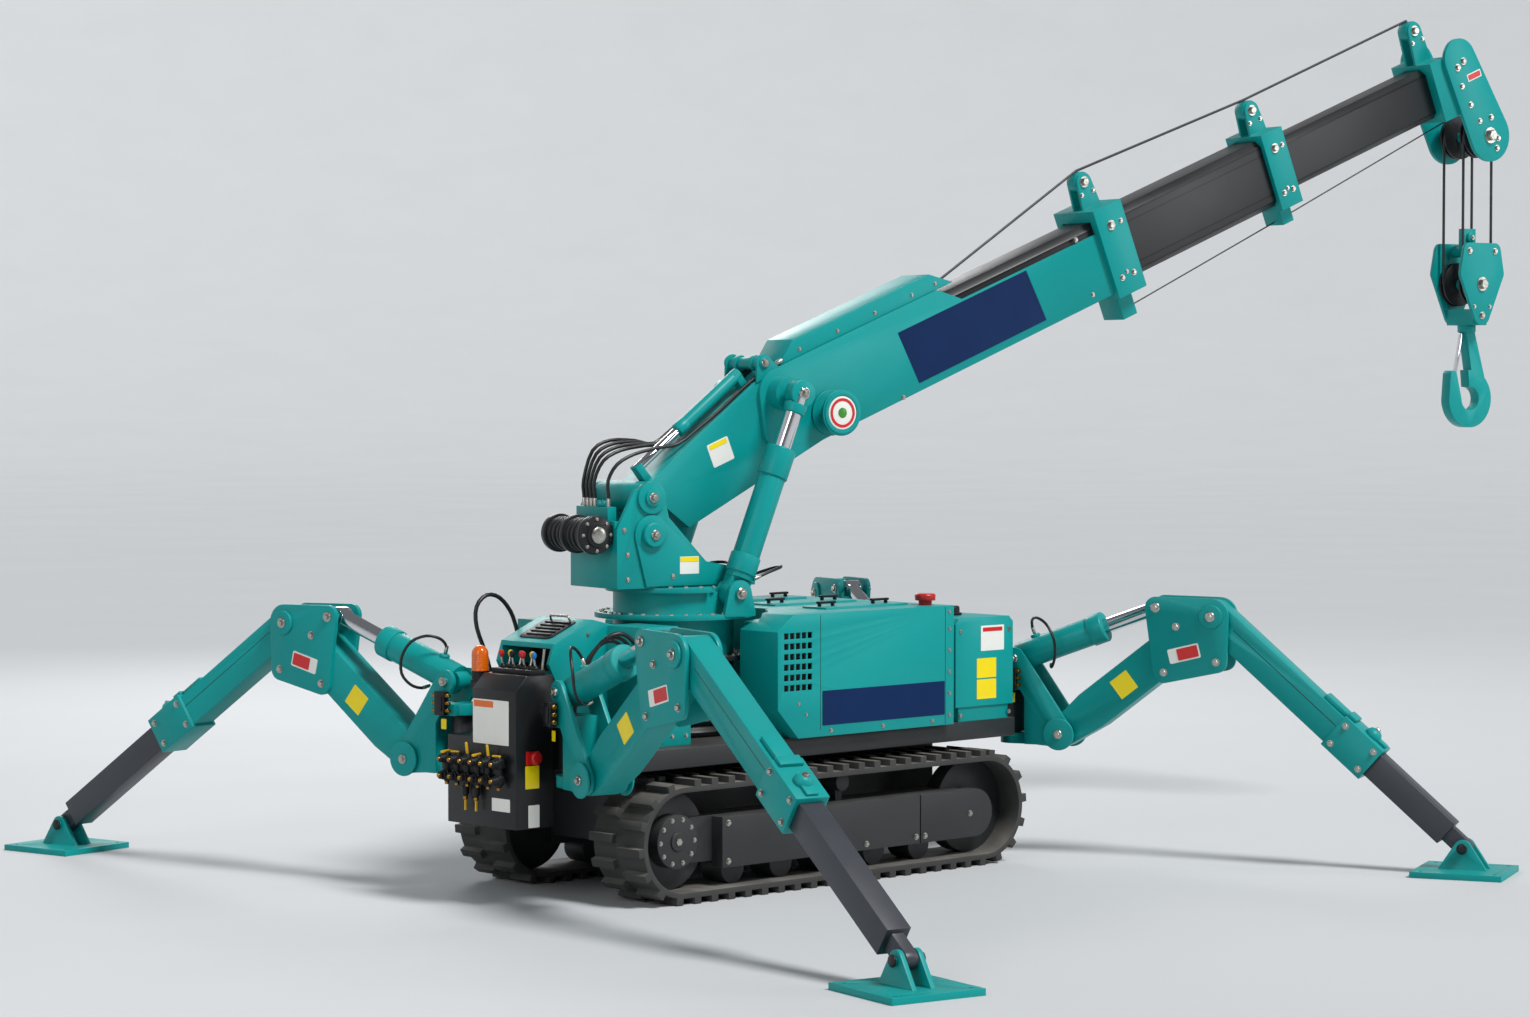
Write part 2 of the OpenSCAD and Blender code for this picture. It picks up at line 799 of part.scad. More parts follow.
module track_frame() {
    belt_in = lug_h + belt_t + fit;
    wheel = wheel_r - fit;
    beam_end = wheel_r / 2;
    beam_side = track_mid + beam_w / 2;
    guard_d = half_w - guard_inset - beam_side;
    roller_pitch = (wheelbase - 2 * wheel_r) / roller_n;
    color("darkslategray") placed() {
        translate([0, track_mid, 0]) {
            block(sprocket_x + beam_end, idler_x - beam_end, beam_w, beam_z0, beam_z1);
            translate([sprocket_x, 0, axle_z]) cross_pin(wheel, wheel_w);
            translate([idler_x, 0, axle_z]) cross_pin(wheel, wheel_w);
            for (i = [0 : roller_n - 1]) {
                translate([sprocket_x + wheel_r + (i + 1 / 2) * roller_pitch, 0, belt_in + roller_r])
                    cross_pin(roller_r, beam_w);
            }
            translate([carrier_x, 0, track_h - belt_in - carrier_r]) cross_pin(carrier_r, beam_w);
            block(carrier_x - carrier_r / 2, carrier_x + carrier_r / 2, wheel_w, beam_z1,
                track_h - belt_in - carrier_r);
            translate([sprocket_x, wheel_w / 2 + hub_d / 2, axle_z]) cross_pin(hub_r, hub_d);
        }
        translate([0, beam_side + guard_d / 2, 0]) upright(guard_d) guard_outline();
    }
}

module end_member(x0, x1, boss_x) {
    z1 = deck_z0 + boss_h;
    block(x0, x1, 2 * (swivel_y + boss_r), deck_z0, z1);
    both_sides() {
        translate([min(x0, boss_x), -swivel_y - boss_r, deck_z0])
            cube([max(x1, boss_x) - min(x0, boss_x), 2 * boss_r, boss_h]);
        translate([boss_x, -swivel_y, deck_z0]) cylinder(r = boss_r, h = boss_h);
    }
}

module chassis_frame() {
    rear_x0 = deck_x1;
    color("dimgray") placed() difference() {
        union() {
            block(deck_x0, deck_x1, 2 * deck_hw, deck_z0, deck_z1);
            block(sprocket_x, idler_x, 2 * box_hw, box_z0, deck_z0);
            for (x = [cross_front_x, cross_rear_x]) {
                block(x, x + cross_l, 2 * track_mid - beam_w, cross_z0, cross_z1);
            }
            end_member(deck_x0 - end_member_l, deck_x0, swivel_front_x);
            end_member(rear_x0, rear_x0 + end_member_l, swivel_rear_x);
            block(control_x1, deck_x0 - end_member_l, swivel_y / 2, deck_z0, deck_z0 + boss_h);
        }
        both_sides() for (x = [swivel_front_x, swivel_rear_x]) {
            translate([x, -swivel_y, deck_z0 - deck_gap])
                cylinder(r = swivel_pin_r + fit, h = boss_h + 2 * deck_gap);
        }
    }
}

// engine cover outline from the side, drawn in by a wall
module cover_side(t) {
    x0 = cover_x0 + t;
    x1 = cover_x1 - t;
    z0 = deck_z1;
    z1 = deck_z1 + cover_h - t;
    polygon([[x0 + cover_foot[0], z0], [x1, z0], [x1, z1], [x0 + cover_brow[0], z1],
        [x0, z1 - cover_brow[1]], [x0, z0 + cover_foot[1]]]);
}

// engine cover outline from above, drawn in by a wall
module cover_plan(t) {
    polygon([[cover_x0 + t, -cover_hw + t], [cover_x1 - t, -cover_hw + t], [cover_x1 - t, cover_hw - t],
        [cover_x0 + t, cover_hw - t], [cover_x0 + t, recess_mouth_hw + t], [recess_x + t, recess_hw + t],
        [recess_x + t, -recess_hw - t], [cover_x0 + t, -recess_mouth_hw - t]]);
}

module cover_form(t) {
    intersection() {
        upright(2 * cover_hw) cover_side(t);
        linear_extrude(height = deck_z1 + 2 * cover_h) cover_plan(t);
    }
}

module engine_cover() {
    top = deck_z1 + cover_h;
    ledge = top - ledge_d;
    hatch_w = recess_mouth_hw - recess_hw;
    color("teal") placed() {
        difference() {
            cover_form(0);
            cover_form(cover_t);
            translate([0, 0, ledge - cover_t]) cylinder(r = ledge_r, h = ledge_d + 2 * cover_t);
            for (i = [0 : grille_cols - 1]) for (j = [0 : grille_rows - 1]) {
                block(cover_x0 + grille_x + i * grille_pitch[0],
                    cover_x0 + grille_x + i * grille_pitch[0] + grille_hole, 2 * cover_hw + 2 * cover_t,
                    deck_z1 + grille_z + j * grille_pitch[1], deck_z1 + grille_z + j * grille_pitch[1] + grille_hole);
            }
        }
        intersection() {
            cover_form(0);
            translate([0, 0, ledge - cover_t]) difference() {
                cylinder(r = ledge_r + cover_t, h = ledge_d + 2 * cover_t);
                translate([0, 0, cover_t]) cylinder(r = ledge_r, h = ledge_d + 2 * cover_t);
            }
        }
        for (y = [-recess_mouth_hw, 0, recess_mouth_hw]) {
            translate([(recess_x + cover_x1) / 2, y, 0])
                block(-(cover_x1 - recess_x) / 3, (cover_x1 - recess_x) / 3, hatch_w, top, top + hatch_h);
        }
    }
}

module engine_block() {
    color("gray") placed()
        block(cover_x1 - engine_gap - engine_l, cover_x1 - engine_gap, engine_w, deck_z1, deck_z1 + engine_h);
}

module tank_box() {
    z0 = deck_z1 + tank_base_h;
    color("teal") placed() {
        block(tank_x0 + tank_chamfer, tank_x1 - tank_chamfer, 2 * deck_hw, deck_z1, z0);
        translate([0, 0, z0]) upright(2 * tank_hw) polygon([[tank_x0, 0], [tank_x1, 0],
            [tank_x1, tank_h - tank_chamfer], [tank_x1 - tank_chamfer, tank_h],
            [tank_x0 + tank_chamfer, tank_h], [tank_x0, tank_h - tank_chamfer]]);
    }
}

module valve_housing() {
    slope = (hood_top[1] - hood_lip[1]) / (hood_top[0] - hood_lip[0]);
    mouth = hood_nose[0] - hood_wall;
    side_y0 = hood_hw - hood_wall / 2;
    color("teal") placed() translate([0, 0, deck_z1]) {
        difference() {
            upright(2 * hood_hw) polygon([[valve_x0, 0], [valve_x0, hood_chin], hood_nose, hood_lip, hood_top,
                hood_back, [valve_x1, hood_back[1]], [valve_x1, 0]]);
            upright(2 * hood_hw - 2 * hood_wall) polygon([[mouth, pocket_z], [hood_lip[0] + pocket_l, pocket_z],
                [hood_lip[0] + pocket_l, hood_lip[1] + slope * pocket_l - hood_wall],
                [mouth, hood_lip[1] + slope * (mouth - hood_lip[0]) - hood_wall]]);
        }
        both_sides() translate([0, (valve_hw + side_y0) / 2, 0]) upright(valve_hw - side_y0)
            polygon([[side_x[0], 0], [side_x[1], 0], [side_x[1], side_h - side_chamfer[1]],
                [side_x[1] - side_chamfer[0], side_h], [side_x[0], side_h]]);
    }
}

module control_box() {
    color("black") placed() {
        translate([0, (control_y0 + control_y1) / 2, 0]) upright(control_y1 - control_y0)
            polygon([[control_x0, control_z0], [control_x1, control_z0], [control_x1, control_z1],
                [control_x0 + control_chamfer, control_z1], [control_x0, control_z1 - control_chamfer]]);
        translate([control_x0, control_y1, control_z0])
            cube([control_x1 - control_x0, control_low_y1 - control_y1, control_step_z - control_z0]);
    }
}

module lever_bank() {
    l = (control_y1 - control_y0) * 0.9;
    x = (control_x0 + control_chamfer + control_x1) / 2;
    translate([x, (control_y0 + control_y1) / 2, control_z1]) {
        block(-knob_r, knob_r, l, 0, lever_base_h);
        for (i = [0 : lever_n - 1]) {
            translate([0, -l / 2 + (i + 1 / 2) * l / lever_n, lever_base_h]) {
                cylinder(r = lever_r, h = lever_h);
                translate([0, 0, lever_h]) sphere(r = knob_r);
            }
        }
    }
}

module tap_cluster() {
    translate([control_x0, 0, tap_z]) {
        translate([-tap_l / 2, control_low_y1 - tap_n * tap_pitch, -tap_r / 2])
            cube([tap_l / 2, tap_n * tap_pitch, tap_r]);
        for (i = [0 : tap_n - 1]) {
            translate([-tap_l / 2, control_low_y1 - (i + 1 / 2) * tap_pitch, -tap_l / 2])
                cylinder(r = tap_r, h = tap_l);
        }
    }
}

module controls() {
    color("dimgray") placed() {
        lever_bank();
        tap_cluster();
    }
}

module lamp() {
    z0 = control_step_z;
    z1 = control_z1;
    color("orange") placed() translate([(control_x0 + control_x1) / 2, lamp_y, 0]) {
        translate([0, 0, z0]) cylinder(r = lamp_post_r, h = z1 - z0);
        translate([0, 0, z1]) cylinder(r = lamp_r, h = lamp_h);
        translate([0, 0, z1 + lamp_h]) sphere(r = lamp_r);
    }
}

module slew_column() {
    fold = fixed_flange_up / bellows_n;
    color("black") placed() {
        translate([0, 0, deck_z1]) cylinder(r = bellows_r - bellows_d, h = fixed_flange_up);
        for (i = [0 : bellows_n - 1]) {
            translate([0, 0, deck_z1 + i * fold]) {
                cylinder(r1 = bellows_r - bellows_d, r2 = bellows_r, h = fold / 2);
                translate([0, 0, fold / 2]) cylinder(r1 = bellows_r, r2 = bellows_r - bellows_d, h = fold / 2);
            }
        }
        translate([0, 0, fixed_flange_z]) cylinder(r = fixed_flange_r, h = flange_t);
    }
}

module slew_drum() {
    color("teal") turned() {
        translate([0, 0, drum_z0]) cylinder(r = drum_r, h = drum_low_h);
        translate([0, 0, turn_flange_z0]) cylinder(r = turn_flange_r, h = flange_t);
        translate([0, 0, turn_flange_z1]) cylinder(r = drum_r, h = drum_up_h);
        difference() {
            translate([0, 0, base_flange_z0]) cylinder(r = base_flange_r, h = flange_t);
            both_sides() translate([lift_low_r, lift_side, 0]) block(-2 * lift_eye_r, 2 * lift_eye_r,
                lift_eye_w + 2 * turn_gap + 2 * cheek_t, base_flange_z0 - flange_t, base_flange_z1 + flange_t);
        }
        both_sides() lift_stand();
    }
}

// stand that carries the lower pin of one lift cylinder
module lift_stand() {
    gap = lift_eye_w / 2 + turn_gap;
    translate([lift_low_r, 0, 0]) {
        for (y = [-gap - cheek_t, gap]) {
            translate([0, lift_side + y + cheek_t / 2, turn_flange_z1]) upright(cheek_t) hull() {
                translate([0, lift_low_up]) circle(r = lift_eye_r);
                translate([-lift_eye_r - cheek_t, -flange_t / 2]) square([2 * lift_eye_r + 2 * cheek_t, flange_t]);
            }
        }
        translate([0, lift_side, lift_low_z]) cross_pin(lift_pin_r, 2 * gap + 2 * cheek_t + 2 * pin_head_t);
    }
}

module cheek_outline() {
    translate([-cheek_back, base_flange_z1])
        polygon([for (p = cheek_shares) [p[0] * cheek_l, p[1] * pivot_up]]);
}

module turret_house() {
    y = cheek_clear / 2 + cheek_t / 2;
    color("teal") turned() {
        both_sides() {
            translate([0, y, 0]) upright(cheek_t) cheek_outline();
            translate([-pivot_back, y + cheek_boss_t / 2, pivot_z]) cross_pin(pivot_boss_r, cheek_t + cheek_boss_t);
            translate([-pivot_back, y + cheek_boss_t / 2, pivot_z - cheek_boss_drop])
                cross_pin(cheek_boss_r, cheek_t + cheek_boss_t);
        }
        translate([-cheek_back, -cheek_clear / 2, base_flange_z1]) cube([rear_wall_t, cheek_clear, rear_wall_h]);
        translate([-pivot_back, 0, pivot_z])
            cross_pin(pivot_pin_r, cheek_clear + 2 * cheek_t + 2 * cheek_boss_t + 2 * pin_head_t);
    }
}

module hose_winch() {
    z = base_flange_z1 + winch_up;
    x = -cheek_back - winch_r;
    color("black") turned() {
        translate([x, 0, z]) cross_pin(winch_r * 0.8, winch_w);
        for (y = [-winch_w / 2 + winch_plate_t / 2, 0, winch_w / 2 - winch_plate_t / 2]) {
            translate([x, y, z]) {
                cross_pin(winch_r, winch_plate_t);
                block(0, winch_r, winch_plate_t, -winch_r / 2, winch_r / 2);
            }
        }
    }
}

// rope bracket with its small sheave, standing on a top face
module rope_ear(u, v, h) {
    translate([u, 0, v]) {
        for (s = [-1, 1]) {
            translate([0, s * (ear_clear + ear_t) / 2, 0]) upright(ear_t) hull() {
                translate([-guide_r, -ear_t]) square([2 * guide_r, 2 * ear_t]);
                translate([0, h - guide_r]) circle(r = guide_r * 0.8);
            }
        }
        translate([0, 0, h - guide_r]) cross_pin(guide_r * 0.9, ear_clear);
    }
}

module base_outline() {
    polygon([base_heel, [base_toe[0], -base_toe[1]], [base_foot_u, -base_v0], [base_u1, -base_v0],
        [base_u1, base_low_v1], [base_open_u, base_low_v1], [base_open_u - top_cover_slope, base_v1],
        [base_rise_u, base_v1]]);
}

// collar box round a section, with its lower lug
module collar(u, l, w, v0, v1, lug) {
    block(u, u + l, w, v0, v1);
    block(u + l / 4, u + 3 * l / 4, w / 2, v0 - lug, v0);
}

module boom_base() {
    boss_w = lift_side - lift_eye_w / 2 - 2 * turn_gap;
    collar_v1 = mid_v1 + 2 * collar_a_lip;
    color("teal") on_boom() {
        difference() {
            union() {
                upright(base_w) base_outline();
                collar(collar_a_u[0], collar_a_u[1], base_w + 2 * collar_a_lip, -base_v0 - collar_a_lip, collar_v1,
                    collar_a_lug);
                cross_pin(pivot_boss_r, cheek_clear - 2 * fit);
                translate([lift_u, 0, lift_v]) {
                    cross_pin(lift_boss_r, 2 * (lift_side - lift_barrel_r - 3 * turn_gap));
                    cross_pin(lift_pin_r, 2 * boss_w);
                    upright(base_w + 2 * cheek_t) link([0, 0], 3 * lift_boss_r / 2, [-lift_boss_r, -lift_v], lift_boss_r);
                }
            }
            block(base_bore_u0, base_u1 + collar_a_u[1], mid_w + 2 * fit, -mid_v0 - fit, mid_v1 + fit);
            cross_pin(pivot_pin_r + fit, 2 * cheek_clear);
        }
        rope_ear(collar_a_u[0] + collar_a_u[1] / 2, collar_v1, collar_a_ear);
    }
}

module boom_top_cover() {
    u0 = top_cover_u[0];
    u1 = u0 + top_cover_u[1];
    color("teal") on_boom() upright(top_cover_w) polygon([[u0, base_v1], [u1, base_v1],
        [u1 - top_cover_slope, base_v1 + top_cover_h], [u0 + top_cover_slope, base_v1 + top_cover_h]]);
}

module cable_reel() {
    color("silver") on_boom() translate([reel_at[0], -base_w / 2 - reel_w / 2, -reel_at[1]]) {
        cross_pin(reel_r * 0.6, reel_w);
        for (s = [-1, 1]) translate([0, s * (reel_w - ear_t) / 2, 0]) cross_pin(reel_r, ear_t);
    }
}

module boom_middle() {
    u1 = collar_b_u[0] + collar_b_u[1];
    color("dimgray") on_boom() difference() {
        beam(mid_u0, u1, mid_w, -mid_v0, mid_v1, boom_bevel);
        block(mid_u0 - boom_bevel, u1 + boom_bevel, tip_w + 2 * fit, -tip_v0 - fit, tip_v1 + fit);
    }
}

module collar_b() {
    u = collar_b_u[0];
    l = collar_b_u[1];
    v1 = mid_v1 + collar_b_lip;
    color("teal") on_boom() {
        difference() {
            collar(u, l, mid_w + 2 * collar_b_lip, -mid_v0 - collar_b_lip, v1, collar_b_lug);
            beam(u - l, u + 2 * l, mid_w, -mid_v0, mid_v1, boom_bevel);
        }
        rope_ear(u + l / 2, v1, collar_b_ear);
    }
}

module boom_tip() {
    color("dimgray") on_boom() beam(tip_u0, tip_u1, tip_w, -tip_v0, tip_v1, boom_bevel);
}

module boom_head() {
    color("teal") on_boom() {
        difference() {
            block(tip_u1 - head_block_l, tip_u1, head_clear, -tip_v0 - collar_b_lip, tip_v1 + collar_b_lip);
            beam(tip_u0, tip_u1 + head_block_l, tip_w, -tip_v0, tip_v1, boom_bevel);
        }
        for (s = [-1, 1]) {
            translate([head_at[0], s * (head_clear + head_t) / 2, -head_at[1]]) upright(head_t)
                link([0, 0], head_low_r, head_rise, head_up_r);
        }
        translate([head_at[0], 0, -head_at[1]]) cross_pin(axle_r, head_clear);
        rope_ear(tip_u1 - head_block_l / 2, tip_v1 + collar_b_lip, head_guide + 2 * guide_r);
    }
}

module sheave_pair() {
    both_sides() translate([0, sheave_y, 0]) difference() {
        union() {
            cross_pin(rope_path_r - rope_r, sheave_w);
            for (s = [-1, 1]) {
                translate([0, s * sheave_w * 0.36, 0]) cross_pin(rope_path_r + sheave_rim, sheave_w * 0.28);
            }
        }
        cross_pin(axle_r + fit, 2 * sheave_w);
    }
}

module head_sheaves() {
    color("silver") at_head() sheave_pair();
}

module block_sheaves() {
    color("silver") at_block() sheave_pair();
}

module rope_falls() {
    color("silver") at_block() both_sides() for (x = [-rope_path_r, rope_path_r]) {
        translate([x, sheave_y, 0]) cylinder(r = rope_r, h = fall_l);
    }
}

module hook_block() {
    inner = block_w - 2 * block_t;
    low = block_rise - block_h;
    color("teal") at_block() {
        for (s = [-1, 1]) translate([0, s * (block_w - block_t) / 2, 0]) upright(block_t) hull() {
            for (m = [-1, 1]) {
                translate([m * (block_top_hw - block_corner_r), block_rise - block_corner_r]) circle(r = block_corner_r);
                translate([m * (block_hw - block_corner_r), block_shoulder]) circle(r = block_corner_r);
            }
            translate([0, low + block_low_r]) circle(r = block_low_r);
        }
        cross_pin(axle_r, inner);
        translate([0, 0, block_rise - weight_r - block_t / 2]) cross_pin(weight_r, inner);
        block(-becket_l / 2, becket_l / 2, becket_l / 2, block_rise - weight_r, block_rise + becket_h);
        difference() {
            block(-crosshead_l / 2, crosshead_l / 2, inner, low, low + crosshead_h);
            translate([0, 0, low - crosshead_h]) cylinder(r = shank_r + fit, h = 3 * crosshead_h);
        }
    }
}

module hook_outline() {
    top = block_low - fit - hook_collar_h;
    ring = bowl_r + hook_t / 2;
    centre = [0, block_low - hook_drop + bowl_r + hook_t];
    difference() {
        translate(centre) circle(r = bowl_r + hook_t);
        translate(centre) circle(r = bowl_r);
        translate(centre) polygon([[0, 0], 3 * ring * [cos(bowl_span[0]), sin(bowl_span[0])],
            3 * ring * [cos((bowl_span[0] + bowl_span[1]) / 2), sin((bowl_span[0] + bowl_span[1]) / 2)],
            3 * ring * [cos(bowl_span[1]), sin(bowl_span[1])]]);
    }
    link(centre + ring * [cos(bowl_span[1]), sin(bowl_span[1])], hook_t / 2, centre + hook_tip, hook_tip_r);
    link([0, top], hook_neck_r, centre + ring * [cos(bowl_turn), sin(bowl_turn)], hook_t / 2);
}

module hook() {
    z1 = block_low - fit;
    color("goldenrod") at_block() {
        upright(hook_w) hook_outline();
        translate([0, 0, z1 - hook_collar_h]) cylinder(r = hook_collar_r, h = hook_collar_h);
        translate([0, 0, z1 - hook_collar_h]) cylinder(r = shank_r, h = hook_collar_h + fit + crosshead_h);
    }
}

module hook_latch() {
    centre = [0, block_low - hook_drop + bowl_r + hook_t];
    tip = centre + hook_tip + [hook_tip_r + latch_t + fit, 0];
    root = [-hook_neck_r - latch_t - fit, block_low - hook_collar_h - latch_t - 2 * fit];
    color("silver") at_block() upright(latch_w) link(root, latch_t, tip, latch_t * 0.7);
}

module on_lift() {
    turned() both_sides() translate([lift_low_r, lift_side, lift_low_z]) rotate([0, -lift_angle, 0]) children();
}

module lift_barrels() {
    barrel_u0 = lift_eye_r + 2 * turn_gap;
    color("teal") on_lift() difference() {
        union() {
            cross_pin(lift_eye_r, lift_eye_w);
            block(0, barrel_u0 + lift_pin_r, lift_eye_w, -lift_eye_r * 0.9, lift_eye_r * 0.9);
            translate([barrel_u0, 0, 0]) rotate([0, 90, 0]) cylinder(r = lift_barrel_r, h = lift_barrel_l - barrel_u0);
        }
        translate([lift_rod_u0 / 3, 0, 0]) rotate([0, 90, 0]) cylinder(r = lift_rod_r + fit, h = lift_barrel_l);
        cross_pin(lift_pin_r + fit, 2 * lift_barrel_r + lift_eye_w);
    }
}

module lift_rods() {
    color("silver") on_lift() {
        translate([lift_rod_u0, 0, 0]) rotate([0, 90, 0]) cylinder(r = lift_rod_r, h = lift_l - lift_rod_u0);
        translate([lift_l, 0, 0]) {
            cross_pin(lift_eye_r, lift_eye_w);
            translate([0, lift_eye_w / 2 + pin_head_t / 2, 0]) cross_pin(lift_pin_r, pin_head_t);
        }
    }
}

module bracket(front, far) {
    inner = arm_w + 2 * turn_gap;
    lug_low = deck_z0 - turn_gap - bracket_lug_t;
    lug_top = deck_z0 + boss_h + turn_gap;
    top = lug_top + bracket_lug_t;
    color("teal") swung(front, far) {
        for (s = [-1, 1]) translate([0, s * (inner + bracket_t) / 2, 0]) upright(bracket_t) {
            link([web_r + bracket_r, lug_low + bracket_r], bracket_r, arm_at, bracket_r);
            link(jack_base_at, bracket_r * 0.8, arm_at, bracket_r);
            polygon([[web_r, lug_low + bracket_r], [arm_at[0], arm_at[1]], jack_base_at, [web_r, top]]);
            translate([-boss_r, lug_top]) square([web_r + boss_r, bracket_lug_t]);
            translate([web_r, lug_low]) square([arm_at[0] - web_r, bracket_r]);
        }
        translate([web_r, -inner / 2, lug_low]) cube([web_t, inner, top - lug_low]);
        for (z = [lug_low, lug_top]) {
            translate([0, 0, z]) cylinder(r = bracket_lug_r, h = bracket_lug_t);
            translate([0, -bracket_lug_r, z]) cube([web_r, 2 * bracket_lug_r, bracket_lug_t]);
        }
        translate([0, 0, lug_low]) cylinder(r = swivel_pin_r, h = top - lug_low);
        translate([arm_at[0], 0, arm_at[1]]) cross_pin(arm_pin_r, inner + 2 * bracket_t + 2 * pin_head_t);
        translate([jack_base_at[0], 0, jack_base_at[1]]) cross_pin(jack_pin_r, inner + 2 * bracket_t + 2 * pin_head_t);
    }
}

module arm(front, far) {
    end = arm_l - knee_back;
    h = arm_h / 2;
    pin_in = arm_w / 2 - jack_eye_w / 2 - 2 * turn_gap;
    color("teal") on_arm(front, far) {
        difference() {
            upright(arm_w) hull() {
                circle(r = arm_eye_r);
                translate([arm_h, -h]) square([end - arm_h, arm_h]);
            }
            cross_pin(arm_pin_r + fit, 2 * arm_w);
        }
        for (s = [-1, 1]) {
            translate([0, s * (arm_w + knee_t) / 2, 0]) upright(knee_t) {
                hull() {
                    translate(jack_rod_at) circle(r = knee_corner_r);
                    translate([arm_l, 0]) circle(r = knee_r);
                    translate(knee_low[0]) circle(r = knee_corner_r);
                    translate(knee_low[1]) circle(r = knee_corner_r);
                }
            }
            translate([jack_rod_at[0], s * (arm_w - pin_in) / 2, jack_rod_at[1]]) cross_pin(jack_pin_r, pin_in);
        }
        translate([arm_l, 0, 0]) cross_pin(arm_pin_r, arm_w + 2 * knee_t + 2 * pin_head_t);
    }
}

module jack_barrel(front, far) {
    color("teal") on_jack(front, far) difference() {
        union() {
            cross_pin(jack_eye_r, jack_eye_w);
            rotate([0, 90, 0]) cylinder(r = jack_barrel_r, h = jack_barrel_l);
        }
        translate([jack_eye_r + jack_pin_r, 0, 0]) rotate([0, 90, 0])
            cylinder(r = jack_rod_r + fit, h = jack_barrel_l);
        cross_pin(jack_pin_r + fit, 2 * jack_barrel_r + jack_eye_w);
    }
}

module jack_rod(front, far) {
    color("silver") on_jack(front, far) {
        translate([jack_rod_u0, 0, 0]) rotate([0, 90, 0]) cylinder(r = jack_rod_r, h = jack_len - jack_rod_u0);
        translate([jack_len, 0, 0]) cross_pin(jack_eye_r, jack_eye_w);
    }
}

module leg(front, far) {
    h = leg_h / 2;
    collar_u0 = leg_box_l - leg_collar_l;
    color("teal") on_leg(front, far) difference() {
        union() {
            cross_pin(h, leg_w);
            block(0, leg_box_l, leg_w, -h, h);
            block(collar_u0, leg_box_l, leg_w + 2 * leg_collar_lip, -h - leg_collar_lip, h + leg_collar_lip);
        }
        block(leg_bore_u0, 2 * leg_box_l, bar_w + 2 * fit, -bar_h / 2 - fit, bar_h / 2 + fit);
        cross_pin(arm_pin_r + fit, 2 * leg_w);
    }
}

module leg_bar(front, far) {
    l = front ? leg_front_l : leg_rear_l;
    color("dimgray") on_leg(front, far) difference() {
        union() {
            block(l - tongue_l - bar_l, l - tongue_l, bar_w, -bar_h / 2, bar_h / 2);
            block(l - tongue_l, l, tongue_w, -ankle_r, ankle_r);
            translate([l, 0, 0]) cross_pin(ankle_r, tongue_w);
        }
        translate([l, 0, 0]) cross_pin(ankle_pin_r + fit, 2 * tongue_w);
    }
}

module foot(front, far) {
    gap = tongue_w / 2 + turn_gap;
    hole = foot_half - foot_hole_in;
    color("silver") at_ankle(front, far) {
        translate([0, 0, -ankle_z]) difference() {
            translate([-foot_half, -foot_half, 0]) cube([foot_s, foot_s, foot_t]);
            for (x = [-hole, hole]) for (y = [-hole, hole]) {
                translate([x, y, -foot_t]) cylinder(r = foot_hole_r, h = foot_t * 3);
            }
        }
        for (s = [-1, 1]) translate([0, s * (gap + foot_lug_t / 2), 0]) upright(foot_lug_t) hull() {
            circle(r = ankle_r);
            translate([-foot_lug_l / 2, -ankle_z]) square([foot_lug_l, foot_t]);
        }
        cross_pin(ankle_pin_r, 2 * gap + 2 * foot_lug_t + 2 * pin_head_t);
    }
}

chassis_frame();
mirror([0, 1, 0]) track_belt();  // track_belt_near
track_belt();  // track_belt_far
mirror([0, 1, 0]) track_frame();  // track_frame_near
track_frame();  // track_frame_far
engine_cover();
engine_block();
tank_box();
valve_housing();
control_box();
controls();
lamp();
slew_column();
slew_drum();
turret_house();
hose_winch();
boom_base();
boom_top_cover();
cable_reel();
boom_middle();
collar_b();
boom_tip();
boom_head();
head_sheaves();
lift_barrels();
lift_rods();
rope_falls();
hook_block();
block_sheaves();
hook();
hook_latch();
bracket(true, false);  // bracket_fn
arm(true, false);  // arm_fn
jack_barrel(true, false);  // jack_barrel_fn
jack_rod(true, false);  // jack_rod_fn
leg(true, false);  // leg_fn
leg_bar(true, false);  // leg_bar_fn
foot(true, false);  // foot_fn
bracket(true, true);  // bracket_ff
arm(true, true);  // arm_ff
jack_barrel(true, true);  // jack_barrel_ff
jack_rod(true, true);  // jack_rod_ff
leg(true, true);  // leg_ff
leg_bar(true, true);  // leg_bar_ff
foot(true, true);  // foot_ff
bracket(false, false);  // bracket_rn
arm(false, false);  // arm_rn
jack_barrel(false, false);  // jack_barrel_rn
jack_rod(false, false);  // jack_rod_rn
leg(false, false);  // leg_rn
leg_bar(false, false);  // leg_bar_rn
foot(false, false);  // foot_rn
bracket(false, true);  // bracket_rf
arm(false, true);  // arm_rf
jack_barrel(false, true);  // jack_barrel_rf
jack_rod(false, true);  // jack_rod_rf
leg(false, true);  // leg_rf
leg_bar(false, true);  // leg_bar_rf
foot(false, true);  // foot_rf
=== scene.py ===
# Looks of the compact tracked crane: finishes, softened edges, bolts, hoses, ropes and small fittings.
# Local sizes are millimetres in the frame of the sub-assembly that carries them.
import json
from math import cos, pi, radians, sin

import bmesh
import bpy
from mathutils import Matrix, Vector


